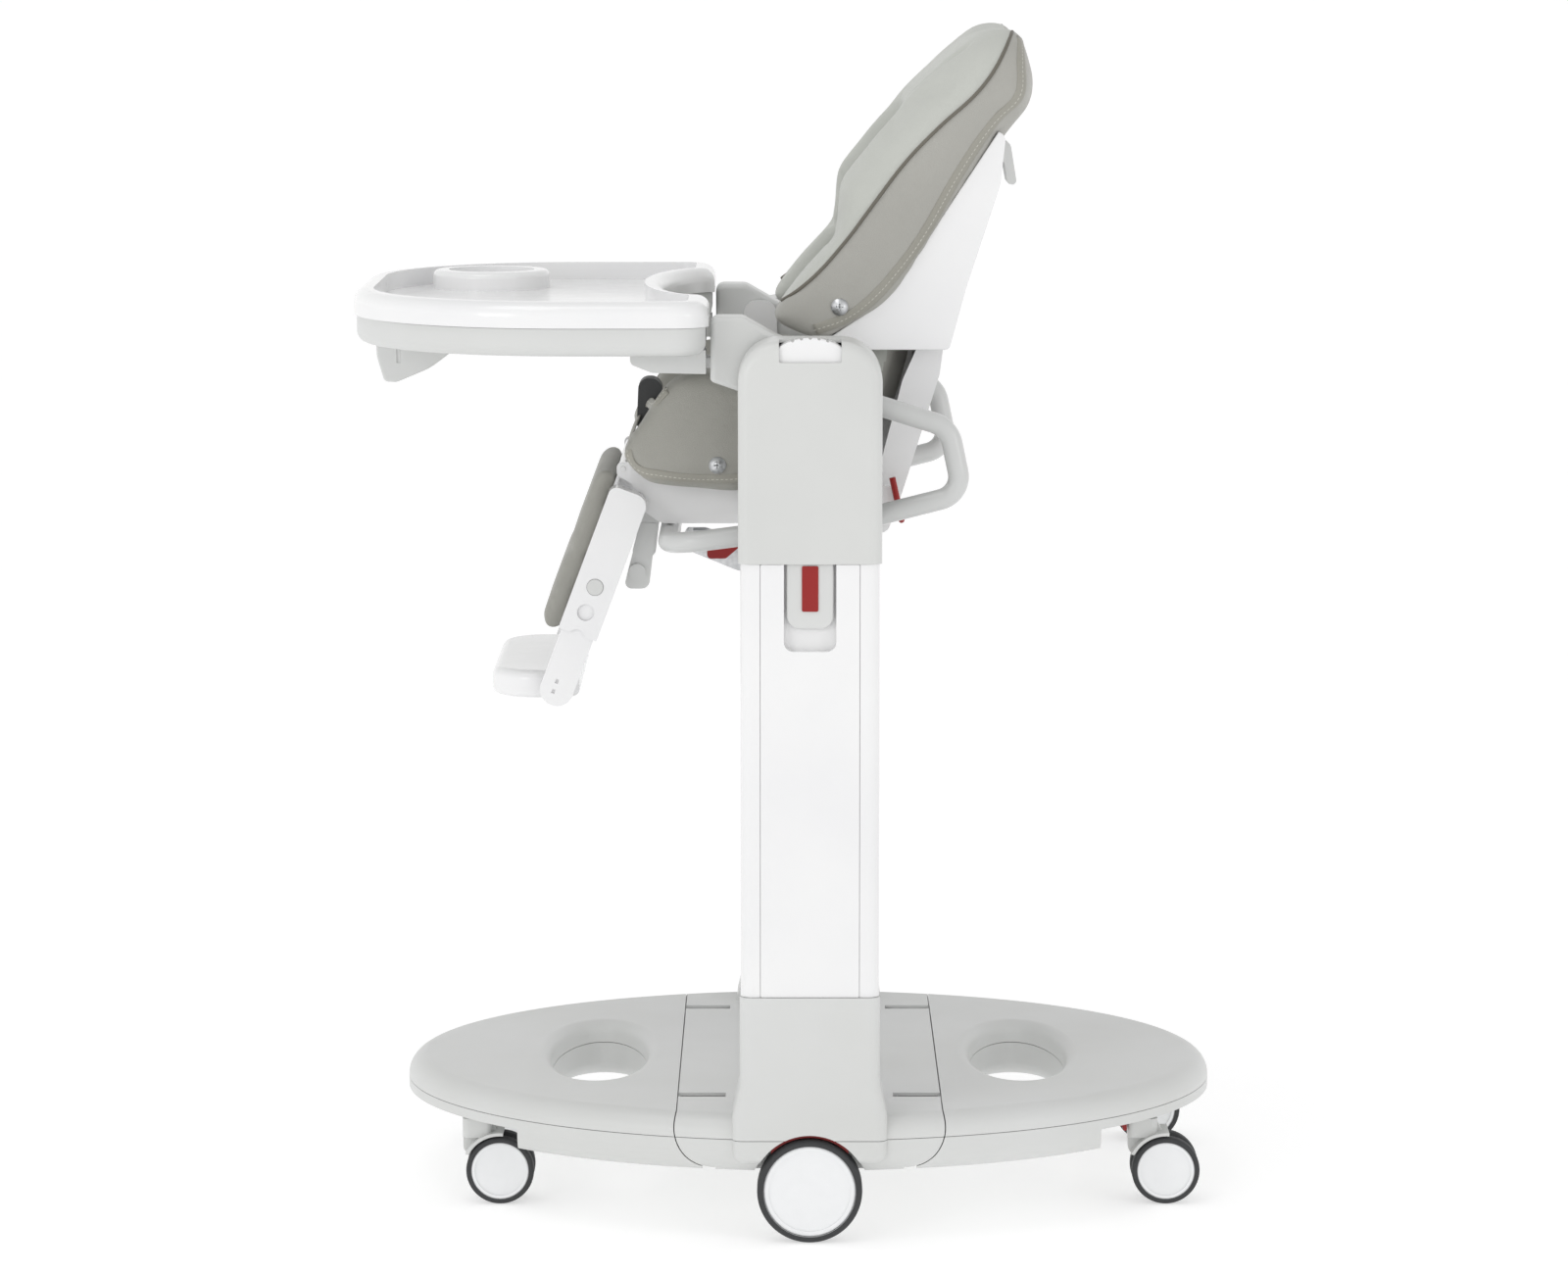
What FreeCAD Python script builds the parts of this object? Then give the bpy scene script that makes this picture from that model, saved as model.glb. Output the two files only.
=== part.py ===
"""A wheeled baby high chair: oval folding base, two columns, reclining seat and lift-off tray.

The frame is in millimetres with +Z up. The chair faces -Y and +X is the child's left side.
Sub-parts are built about the column axis (Y = 0 there), and export() moves them all back by
COLUMN_Y so that the whole chair is centred over the origin.
"""
import FreeCAD, Part
import math
import os

V = FreeCAD.Vector

# Overall sizes
BASE_HALF_LENGTH = 392.0
BASE_HALF_WIDTH = 299.0
TRAY_REACH = 432.0
COLUMN_Y = (TRAY_REACH - BASE_HALF_LENGTH) / 2.0
WALL = 3.0
FIT = 0.5

# Oval base
BASE_TOP = 119.0
BASE_PART_LINE = 97.5
BASE_BOTTOM = 64.0
BASE_TOP_EDGE = 20.0
BASE_LOW_EDGE = 23.0
CASTER_BAY_Z = 88.0
CASTER_BAY_Y = 276.0
HINGE_Y = 88.0
HINGE_Z = 106.0
HINGE_CURVE = 38.0
HINGE_GAP = 1.0
LUG_X = 200.0
LUG_WIDTH = 14.0
LUG_RADIUS = 7.5
HINGE_PIN = 3.5
WING_END = 100.0
HOLE_Y = 205.0
HOLE_HALF_LENGTH = 47.0
HOLE_HALF_WIDTH = 130.0
HOLE_EDGE = 12.0
BEAM_HALF = 28.0
BEAM_LOW = 106.5
BEAM_TOP = BASE_TOP - WALL - 0.5
HANGER_HALF = 14.0

# Towers, columns and heads
COLUMN_IN = 240.0
COLUMN_OUT = 300.0
COLUMN_HALF = 64.0
COLUMN_CORNER = 10.0
COLUMN_WALL = 3.5
SPIGOT_HALF = 58.0
SPIGOT_IN = 243.0
SPIGOT_OUT = 296.0
TOWER_IN = 232.0
TOWER_OUT = 302.0
TOWER_HALF = 65.0
TOWER_TOP = 233.0
TOWER_FOOT = 75.0
HEAD_HALF = 66.0
HEAD_IN = 236.0
HEAD_OUT = 302.0
HEAD_LOW = 637.0
HEAD_TOP = 841.0
HEAD_CORNER = 38.0
GUIDE_OUT = 271.0
GUIDE_HALF = 57.5
GUIDE_TOP = 826.0
SLOT_HALF = 13.0
PANEL_HALF = 45.5
PANEL_THICK = 2.5
GRIP_HALF = 24.0
GRIP_LOW = 556.0
GRIP_FLOOR = 289.0
TONGUE_HALF = 21.5
TONGUE_LOW = 577.0
TONGUE_HINGE_Z = 641.0
TONGUE_IN = 291.5
TONGUE_OUT = 297.5
DIAL_Z = 792.0
DIAL_RADIUS = 52.0
DIAL_IN = 277.0
DIAL_OUT = 298.0
DIAL_WINDOW_HALF = 28.5
DIAL_WINDOW_LOW = 821.5
DIAL_BORE = 6.0

# Wheels
WHEEL_RADIUS = 49.0
WHEEL_DISC = WHEEL_RADIUS - 6.0
WHEEL_IN = 276.0
WHEEL_OUT = 300.0
WHEEL_ARCH = WHEEL_RADIUS + 5.0
AXLE = 5.0
CASTER_Y = 319.0
CASTER_X = 130.0
CASTER_TRAIL = 23.0
CASTER_RADIUS = 32.5
CASTER_DISC = 27.5
CASTER_GAP = 6.0
CASTER_WIDTH = 14.0
CASTER_STEM = 5.5
CASTER_AXLE = 3.5

# Seat carrier and height slides
SLIDE_TRAVEL = 240.0
HEIGHT_STEP = 30.0
CARRIAGE_LOW = 765.0
CARRIAGE_TOP = 822.0
SWING_Z = 800.0
SWING_PIN = 9.0
ARM_IN = 193.0
ARM_OUT = 232.0
TILT_Y = -50.0
TILT_Z = 826.0
TILT_BOSS = 7.0
PRONG_IN = 198.0
PRONG_OUT = 224.0
PRONG_LOW = 810.0
PRONG_TOP = 820.5
PRONG_END = -158.0
FRAME_X = 213.0
FRAME_TUBE = 9.75
FRAME_CROSS_Z = 644.0

# Tray
TRAY_HALF = 285.0
TRAY_REAR = -93.0
TRAY_LOW = 825.0
TRAY_PART_LINE = 851.0
TRAY_RIM = 875.0
TRAY_FLOOR = 858.0
TRAY_NOTCH_HALF = 172.0
TRAY_NOTCH_DEEP = 46.0
CUP_X = -150.0
CUP_Y = -314.0
CUP_BORE = 42.5
CUP_RING = 58.0
HANDLE_Y = -388.0

# Seat
SHELL_HALF = 132.0
SHELL_LOW = 655.0
SHELL_REAR = 50.0
SEAT_TOP = 734.0
SEAT_WING_IN = 146.0
SEAT_WING_OUT = 184.0
RECLINE_Y = 5.0
RECLINE_Z = 670.0
RECLINE_PIN = 6.0
BACK_HALF = 168.0
BACK_VALLEY = 112.0
LEG_Y = -176.0
LEG_Z = 706.0
LEG_ANGLE = 20.6
LEG_BARREL = 119.5
STRUT_IN = 136.0
STRUT_OUT = 164.0
STRUT_WIDTH = 38.0
STRUT_WALL = 2.5
BUTTON_RADIUS = 7.75
BUTTON_DROP = 110.0
HOLE_PITCH = 25.6
STEP_HALF = 132.0
STEP_LENGTH = 84.0
STEP_THICK = 26.0


def place(axis, along, a, b):
    """A point on the plane that crosses one axis at a given distance."""
    if axis == "X":
        return V(along, a, b)
    if axis == "Y":
        return V(a, along, b)
    return V(a, b, along)


def outline(corners, axis, along):
    """A closed wire through corners given as (a, b) or (a, b, radius)."""
    points = [place(axis, along, c[0], c[1]) for c in corners]
    edges = []
    starts = []
    ends = []
    for i, corner in enumerate(corners):
        here = points[i]
        radius = corner[2] if len(corner) > 2 else 0.0
        if radius == 0.0:
            starts.append(here)
            ends.append(here)
            continue
        back = (points[i - 1] - here).normalize()
        ahead = (points[(i + 1) % len(points)] - here).normalize()
        half = back.getAngle(ahead) / 2.0
        reach = radius / math.tan(half)
        first = here + back * reach
        last = here + ahead * reach
        middle = here + (back + ahead).normalize() * (radius / math.sin(half) - radius)
        edges.append((i, Part.Arc(first, middle, last).toShape()))
        starts.append(first)
        ends.append(last)
    arcs = dict(edges)
    loop = []
    for i in range(len(points)):
        if i in arcs:
            loop.append(arcs[i])
        following = starts[(i + 1) % len(points)]
        if ends[i].distanceToPoint(following) > 1e-6:
            loop.append(Part.makeLine(ends[i], following))
    return Part.Wire(loop)


def plate(corners, axis, start, end):
    """A solid with the same rounded outline all along one axis."""
    face = Part.Face(outline(corners, axis, start))
    return face.extrude(place(axis, end - start, 0.0, 0.0))


def block(x, y, z):
    """A plain box between pairs of limits."""
    return Part.makeBox(x[1] - x[0], y[1] - y[0], z[1] - z[0], V(x[0], y[0], z[0]))


def frame_of(low_a, high_a, low_b, high_b, radius):
    """The four rounded corners of a rectangle."""
    return [(low_a, low_b, radius), (high_a, low_b, radius), (high_a, high_b, radius),
            (low_a, high_b, radius)]


def rod(radius, start, end):
    """A round bar between two points."""
    return Part.makeCylinder(radius, (end - start).Length, start, end - start)


def joined(shapes):
    """One clean solid from overlapping shapes."""
    whole = shapes[0]
    for shape in shapes[1:]:
        whole = whole.fuse(shape)
    return whole.removeSplitter()


def mirrored(shape, axis="X"):
    """The same shape on the other side."""
    normal = V(1, 0, 0) if axis == "X" else V(0, 1, 0)
    return shape.mirror(V(0, 0, 0), normal)


def pair(shape, axis="X"):
    """A shape and its mirror image as a group of separate solids."""
    return Part.makeCompound([shape, mirrored(shape, axis)])


def softened(shape, radius, wanted):
    """Round the edges that a test picks out."""
    edges = [edge for edge in shape.Edges if wanted(edge.BoundBox)]
    return shape.makeFillet(radius, edges)


def turned(shape, degrees, y, z):
    """Turn a shape about a line along X, positive from -Z towards -Y."""
    copy = shape.copy()
    copy.rotate(V(0, y, z), V(-1, 0, 0), degrees)
    return copy


def export(name, shape):
    """Write one named sub-part in the chair's own frame."""
    copy = shape.copy()
    copy.translate(V(0, COLUMN_Y, 0))
    copy.exportStep("parts/" + name + ".step")
    print(name, "solids", len(copy.Solids), "cm3", round(copy.Volume / 1000.0, 1), copy.isValid())


# Oval base

def oval(half_length, half_width, low, high, y=0.0):
    """An oval disc whose long axis lies along Y."""
    ellipse = Part.Ellipse(V(0, 0, 0), max(half_length, half_width), min(half_length, half_width))
    disc = Part.Face(Part.Wire(ellipse.toShape())).extrude(V(0, 0, high - low))
    if half_length > half_width:
        disc.rotate(V(0, 0, 0), V(0, 0, 1), 90)
    disc.translate(V(0, y, low))
    return disc


def rim(shape, radius, z):
    """Round the closed rims at one height."""
    edges = [e for e in shape.Edges if e.Closed and abs(e.BoundBox.ZMin - z) < 0.01 and e.BoundBox.ZLength < 0.01]
    return shape.makeFillet(radius, edges)


def base_slab(inset):
    """The whole oval base moved in by an inset on every side."""
    low = BASE_BOTTOM + inset
    high = BASE_TOP - inset
    slab = oval(BASE_HALF_LENGTH - inset, BASE_HALF_WIDTH - inset, low, high)
    slab = rim(slab, BASE_TOP_EDGE - inset, high)
    return rim(slab, BASE_LOW_EDGE - inset, low)


def across(corners):
    """A cutter that crosses the whole base, its outline given in Y and Z."""
    return plate(corners, "X", -TOWER_OUT - 20.0, TOWER_OUT + 20.0)


def hub_zone(inset):
    """The middle stretch of the base, with round ends below the wing hinges."""
    zone = across(frame_of(-HINGE_Y, HINGE_Y, 0.0, 200.0, 0.0))
    for y in (-HINGE_Y, HINGE_Y):
        start = V(-TOWER_OUT - 20.0, y, HINGE_Z)
        end = V(TOWER_OUT + 20.0, y, HINGE_Z)
        zone = zone.fuse(rod(HINGE_CURVE - inset, start, end))
    return zone


def wing_zone(inset):
    """The front stretch of the base, with a hollow end that wraps round the hub."""
    far = BASE_HALF_LENGTH + 20.0
    zone = across(frame_of(-far, -WING_END - inset, 0.0, 200.0, 0.0))
    start = V(-TOWER_OUT - 20.0, -HINGE_Y, HINGE_Z)
    end = V(TOWER_OUT + 20.0, -HINGE_Y, HINGE_Z)
    return zone.cut(rod(HINGE_CURVE + HINGE_GAP + inset, start, end))


def caster_bay(inset):
    """The underside space that the casters turn in."""
    bay = CASTER_BAY_Y - inset
    far = BASE_HALF_LENGTH + 20.0
    return across([(-far, 0.0), (-bay, 0.0), (-bay, CASTER_BAY_Z + inset), (-far, CASTER_BAY_Z + inset)])


def wheel_arch(grow):
    """The round space over one big wheel."""
    return rod(WHEEL_ARCH + grow, V(WHEEL_IN - 8.0 - grow, 0, WHEEL_RADIUS),
               V(TOWER_OUT + 20.0, 0, WHEEL_RADIUS))


def tower(inset):
    """The foot that one column stands in, flared where it meets the hub."""
    half = TOWER_HALF - inset
    flare = half + 7.0
    low = TOWER_FOOT + inset
    corners = [(-flare, low, 12.0), (flare, low, 12.0), (flare, 120.0, 30.0), (half, 150.0, 60.0)]
    corners += [(half, TOWER_TOP), (-half, TOWER_TOP), (-half, 150.0, 60.0), (-flare, 120.0, 30.0)]
    body = plate(corners, "X", TOWER_IN + inset, TOWER_OUT - inset)
    return softened(body, 9.0 - inset, lambda b: b.XLength < 0.01 and b.XMin > TOWER_OUT - 5.0
                    and b.ZMax > low + 1.0 and b.ZMin < TOWER_TOP - 1.0)


def spigot_hole(low):
    """The rectangular socket that the foot of a column slides into."""
    corners = frame_of(SPIGOT_IN - FIT, SPIGOT_OUT + FIT, -SPIGOT_HALF - FIT, SPIGOT_HALF + FIT, 6.0)
    return plate(corners, "Z", low, TOWER_TOP + 5.0)


def lug_slots(low):
    """Slots in the hub for the four wing lugs."""
    half = LUG_WIDTH / 2.0 + 1.0
    slots = []
    for x in (-LUG_X, LUG_X):
        for side in (-1.0, 1.0):
            near = side * (HINGE_Y - LUG_RADIUS - 1.5)
            far = side * 140.0
            slots.append(block((x - half, x + half), sorted((near, far)), (low, 200.0)))
    return slots


def hub_shells():
    """The upper and lower mouldings of the hub."""
    outside = base_slab(0.0).common(hub_zone(0.0))
    inside = base_slab(WALL).common(hub_zone(WALL))
    body = outside
    for side in (tower(0.0), mirrored(tower(0.0))):
        body = body.fuse(side)
    hollow = inside.fuse(tower(WALL)).fuse(mirrored(tower(WALL)))
    well = wheel_arch(WALL)
    hollow = hollow.cut(well).cut(mirrored(well))
    low_tower = block((TOWER_IN + WALL, TOWER_OUT), (-90.0, 90.0), (0.0, 80.0))
    hollow = hollow.cut(low_tower).cut(mirrored(low_tower))
    shell = body.cut(hollow).cut(wheel_arch(0.0)).cut(mirrored(wheel_arch(0.0)))
    split = BASE_PART_LINE
    upper = block((-400, 400), (-200, 200), (split + 0.3, 300))
    lower = block((-400, 400), (-200, 200), (0, split - 0.3))
    cover = shell.common(upper)
    tray = shell.common(lower)
    socket = spigot_hole(TOWER_TOP - 8.0)
    cover = cover.cut(socket).cut(mirrored(socket))
    for slot in lug_slots(HINGE_Z - LUG_RADIUS - 1.5):
        cover = cover.cut(slot)
        tray = tray.cut(slot)
    gate = block((WHEEL_IN - 18.0 - FIT, WHEEL_IN - 12.0 + FIT), (-HANGER_HALF - FIT, HANGER_HALF + FIT),
                 (0, 100))
    tray = tray.cut(gate).cut(mirrored(gate))
    bosses = []
    gap = LUG_WIDTH / 2.0 + 1.0
    for side in (-1.0, 1.0):
        for x in (-LUG_X, LUG_X):
            for low, high in ((x - gap - 9.0, x - gap), (x + gap, x + gap + 9.0)):
                y = side * HINGE_Y
                boss = block((low, high), (y - 8.0, y + 8.0), (BASE_BOTTOM + 1.0, HINGE_Z))
                boss = boss.fuse(rod(8.0, V(low, y, HINGE_Z), V(high, y, HINGE_Z)))
                bosses.append(boss.cut(rod(HINGE_PIN, V(low - 1, y, HINGE_Z), V(high + 1, y, HINGE_Z))))
    bosses = [boss.common(outside) for boss in bosses]
    return cover, joined([tray] + bosses)


def hinge_pins():
    """Four steel pins that the wings fold about."""
    reach = LUG_WIDTH / 2.0 + 10.0
    pins = []
    for x in (-LUG_X, LUG_X):
        for y in (-HINGE_Y, HINGE_Y):
            pins.append(rod(HINGE_PIN, V(x - reach, y, HINGE_Z), V(x + reach, y, HINGE_Z)))
    return pins


def crossbeam():
    """The flat steel beam that carries both columns and both big wheels."""
    return block((-SPIGOT_OUT, SPIGOT_OUT), (-BEAM_HALF, BEAM_HALF), (BEAM_LOW, BEAM_TOP))


def wing_body(inset):
    """One solid wing with its opening and its caster bay, moved in by an inset."""
    body = base_slab(inset).common(wing_zone(inset)).cut(caster_bay(inset))
    high = BASE_TOP - inset
    opening = oval(HOLE_HALF_LENGTH + inset, HOLE_HALF_WIDTH + inset, 0.0, 200.0, -HOLE_Y)
    body = body.cut(opening)
    body = rim_of_hole(body, HOLE_EDGE - inset, high)
    return rim_of_hole(body, HOLE_EDGE - inset, BASE_BOTTOM + inset)


def rim_of_hole(body, radius, z):
    """Round one rim of the wing's opening."""
    edges = []
    for edge in body.Edges:
        b = edge.BoundBox
        if abs(b.ZMin - z) < 0.01 and b.ZLength < 0.02 and b.YLength < 2.2 * HOLE_HALF_LENGTH and b.XLength > 60.0:
            if b.YMax < -HOLE_Y + HOLE_HALF_LENGTH + 5.0 and b.YMin > -HOLE_Y - HOLE_HALF_LENGTH - 5.0:
                edges.append(edge)
    return body.makeFillet(radius, edges)


def wing_shells():
    """The upper and lower mouldings of the front wing."""
    shell = wing_body(0.0).cut(wing_body(WALL))
    upper = shell.common(block((-400, 400), (-500, 0), (BASE_PART_LINE + 0.3, 300)))
    lower = shell.common(block((-400, 400), (-500, 0), (0, BASE_PART_LINE - 0.3)))
    lugs = []
    for x in (-LUG_X, LUG_X):
        low = x - LUG_WIDTH / 2.0
        high = x + LUG_WIDTH / 2.0
        arm = block((low, high), (-HINGE_Y - 60.0, -HINGE_Y), (HINGE_Z - LUG_RADIUS, HINGE_Z + LUG_RADIUS))
        lug = arm.fuse(rod(LUG_RADIUS, V(low, -HINGE_Y, HINGE_Z), V(high, -HINGE_Y, HINGE_Z)))
        foot = block((low, high), (-HINGE_Y - 60.0, -HINGE_Y - 45.0), (BASE_BOTTOM + 1.0, HINGE_Z))
        lug = lug.fuse(foot)
        lugs.append(lug.cut(rod(HINGE_PIN + 0.15, V(low - 1, -HINGE_Y, HINGE_Z),
                                V(high + 1, -HINGE_Y, HINGE_Z))))
        clear = block((low - 0.3, high + 0.3), (-HINGE_Y - 50.0, 0.0),
                      (HINGE_Z - LUG_RADIUS - 0.3, HINGE_Z + LUG_RADIUS + 0.3))
        upper = upper.cut(clear)
    posts = []
    for x, y in ((-95.0, -285.0), (95.0, -285.0), (-225.0, -190.0), (225.0, -190.0), (0.0, -370.0)):
        floor = CASTER_BAY_Z if -y > CASTER_BAY_Y else BASE_BOTTOM
        post = rod(6.0, V(x, y, floor + 1.0), V(x, y, BASE_TOP - WALL))
        posts.append(post)
    for x in (-CASTER_X, CASTER_X):
        socket = rod(CASTER_STEM + 4.0, V(x, -CASTER_Y, CASTER_BAY_Z), V(x, -CASTER_Y, BASE_TOP - WALL))
        posts.append(socket.cut(rod(CASTER_STEM + 0.3, V(x, -CASTER_Y, 0),
                                    V(x, -CASTER_Y, BASE_TOP - WALL - 3.0))))
        lower = lower.cut(rod(CASTER_STEM + 0.3, V(x, -CASTER_Y, 0), V(x, -CASTER_Y, BASE_TOP)))
    return upper, joined([lower] + lugs + posts)


def big_wheel():
    """The right-hand fixed wheel: its disc and its tyre, about the axle."""
    hub = V(WHEEL_IN, 0, WHEEL_RADIUS)
    face = V(WHEEL_OUT, 0, WHEEL_RADIUS)
    disc = rod(WHEEL_DISC, hub, face - V(1.0, 0, 0))
    disc = softened(disc, 2.5, lambda b: b.XLength < 0.01)
    disc = disc.cut(rod(WHEEL_DISC - 5.0, face - V(2.0, 0, 0), face))
    disc = disc.cut(rod(WHEEL_DISC - 4.0, hub, hub + V(WHEEL_OUT - WHEEL_IN - 8.0, 0, 0)))
    disc = joined([disc, rod(12.0, hub, face - V(5.0, 0, 0))])
    bore = rod(AXLE + 0.15, hub - V(1, 0, 0), face - V(8.0, 0, 0))
    tyre = softened(rod(WHEEL_RADIUS, hub, face), 4.5, lambda b: b.XLength < 0.01)
    tyre = tyre.cut(rod(WHEEL_DISC, hub - V(1, 0, 0), face + V(1, 0, 0)))
    return Part.makeCompound([disc.cut(bore), tyre])


def wheel_axle():
    """The steel axle of one big wheel, and the plate that hangs it from the beam."""
    end = WHEEL_OUT - 8.5
    bar = rod(AXLE, V(WHEEL_IN - 18.0, 0, WHEEL_RADIUS), V(end, 0, WHEEL_RADIUS))
    hanger = block((WHEEL_IN - 18.0, WHEEL_IN - 12.0), (-HANGER_HALF, HANGER_HALF),
                   (WHEEL_RADIUS - 10.0, BEAM_LOW))
    return joined([bar, hanger])


def brake_shoe():
    """The red parking brake shoe behind the top of one big wheel."""
    ring = rod(WHEEL_RADIUS + 3.5, V(WHEEL_IN + 2.0, 0, WHEEL_RADIUS), V(WHEEL_OUT - 8.0, 0, WHEEL_RADIUS))
    ring = ring.cut(rod(WHEEL_RADIUS + 0.8, V(WHEEL_IN, 0, WHEEL_RADIUS), V(WHEEL_OUT, 0, WHEEL_RADIUS)))
    return ring.common(block((WHEEL_IN, WHEEL_OUT), (-36.0, 36.0), (WHEEL_RADIUS + 20.0, 110.0)))


# Casters

def caster(x, y):
    """One twin-wheel caster: housing with stem, two discs, two tyres."""
    centre = V(x, y + CASTER_TRAIL, CASTER_RADIUS)
    inner = V(CASTER_GAP, 0, 0)
    outer = V(CASTER_GAP + CASTER_WIDTH, 0, 0)
    stem = rod(CASTER_STEM, V(x, y, CASTER_RADIUS + 20.0), V(x, y, BASE_TOP - WALL - 6.0))
    collar = rod(13.0, V(x, y, CASTER_BAY_Z - 7.0), V(x, y, CASTER_BAY_Z - 0.8))
    web = [(y - 13.0, CASTER_BAY_Z - 8.0, 3.0), (y + 14.0, CASTER_BAY_Z - 8.0, 5.0)]
    web += [(y + CASTER_TRAIL + 12.0, CASTER_RADIUS + 8.0, 8.0),
            (y + CASTER_TRAIL + 6.0, CASTER_RADIUS - 12.0, 7.0)]
    web += [(y + CASTER_TRAIL - 12.0, CASTER_RADIUS - 10.0, 7.0), (y - 12.5, CASTER_RADIUS + 18.0, 8.0)]
    core = plate(web, "X", x - CASTER_GAP + 0.6, x + CASTER_GAP - 0.6)
    half = CASTER_GAP + CASTER_WIDTH
    hood = rod(CASTER_RADIUS + 4.5, centre - V(half, 0, 0), centre + V(half, 0, 0))
    hood = hood.cut(rod(CASTER_RADIUS + 1.5, centre - V(half + 1, 0, 0), centre + V(half + 1, 0, 0)))
    hood = hood.common(block((x - half, x + half), (y - 13.0, y + 26.0), (CASTER_RADIUS + 16.0, 90.0)))
    cap = plate(frame_of(x - 14.0, x + 14.0, y - 13.0, y + 15.0, 6.0), "Z", CASTER_RADIUS + 31.0,
                CASTER_BAY_Z - 6.0)
    wheel_space = rod(CASTER_RADIUS + 1.5, centre - V(half + 1, 0, 0), centre + V(half + 1, 0, 0))
    housing = joined([stem, collar, cap.cut(wheel_space), core, hood])
    housing = housing.cut(rod(CASTER_AXLE + 0.15, centre - V(20, 0, 0), centre + V(20, 0, 0)))
    wheels = rod(CASTER_AXLE, centre - outer * 0.8, centre + outer * 0.8)
    tyres = []
    for side in (-1.0, 1.0):
        start = centre + inner * side
        end = centre + outer * side
        disc = softened(rod(CASTER_DISC, start, end), 1.8, lambda b: b.XLength < 0.01)
        disc = disc.cut(rod(CASTER_DISC - 3.5, end - V(1.2 * side, 0, 0), end + V(side, 0, 0)))
        wheels = wheels.fuse(disc)
        tyre = softened(rod(CASTER_RADIUS, start, end), 3.2, lambda b: b.XLength < 0.01)
        tyres.append(tyre.cut(rod(CASTER_DISC, start - V(side, 0, 0), end + V(side, 0, 0))))
    return housing, Part.makeCompound([wheels.removeSplitter()] + tyres)


def caster_brake(x, y):
    """The red pedal that locks a rear caster, hinged on the caster's housing."""
    low = CASTER_BAY_Z - 12.0
    corners = [(y - 18.0, low - 6.0, 1.4), (y - 14.2, low - 6.0, 1.4), (y - 14.2, low + 4.0, 1.0)]
    corners += [(y - 31.0, low + 7.0, 2.0), (y - 33.0, low + 1.0, 2.0), (y - 18.0, low - 2.0, 2.0)]
    return plate(corners, "X", x - 11.0, x + 11.0)


# Columns

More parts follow.
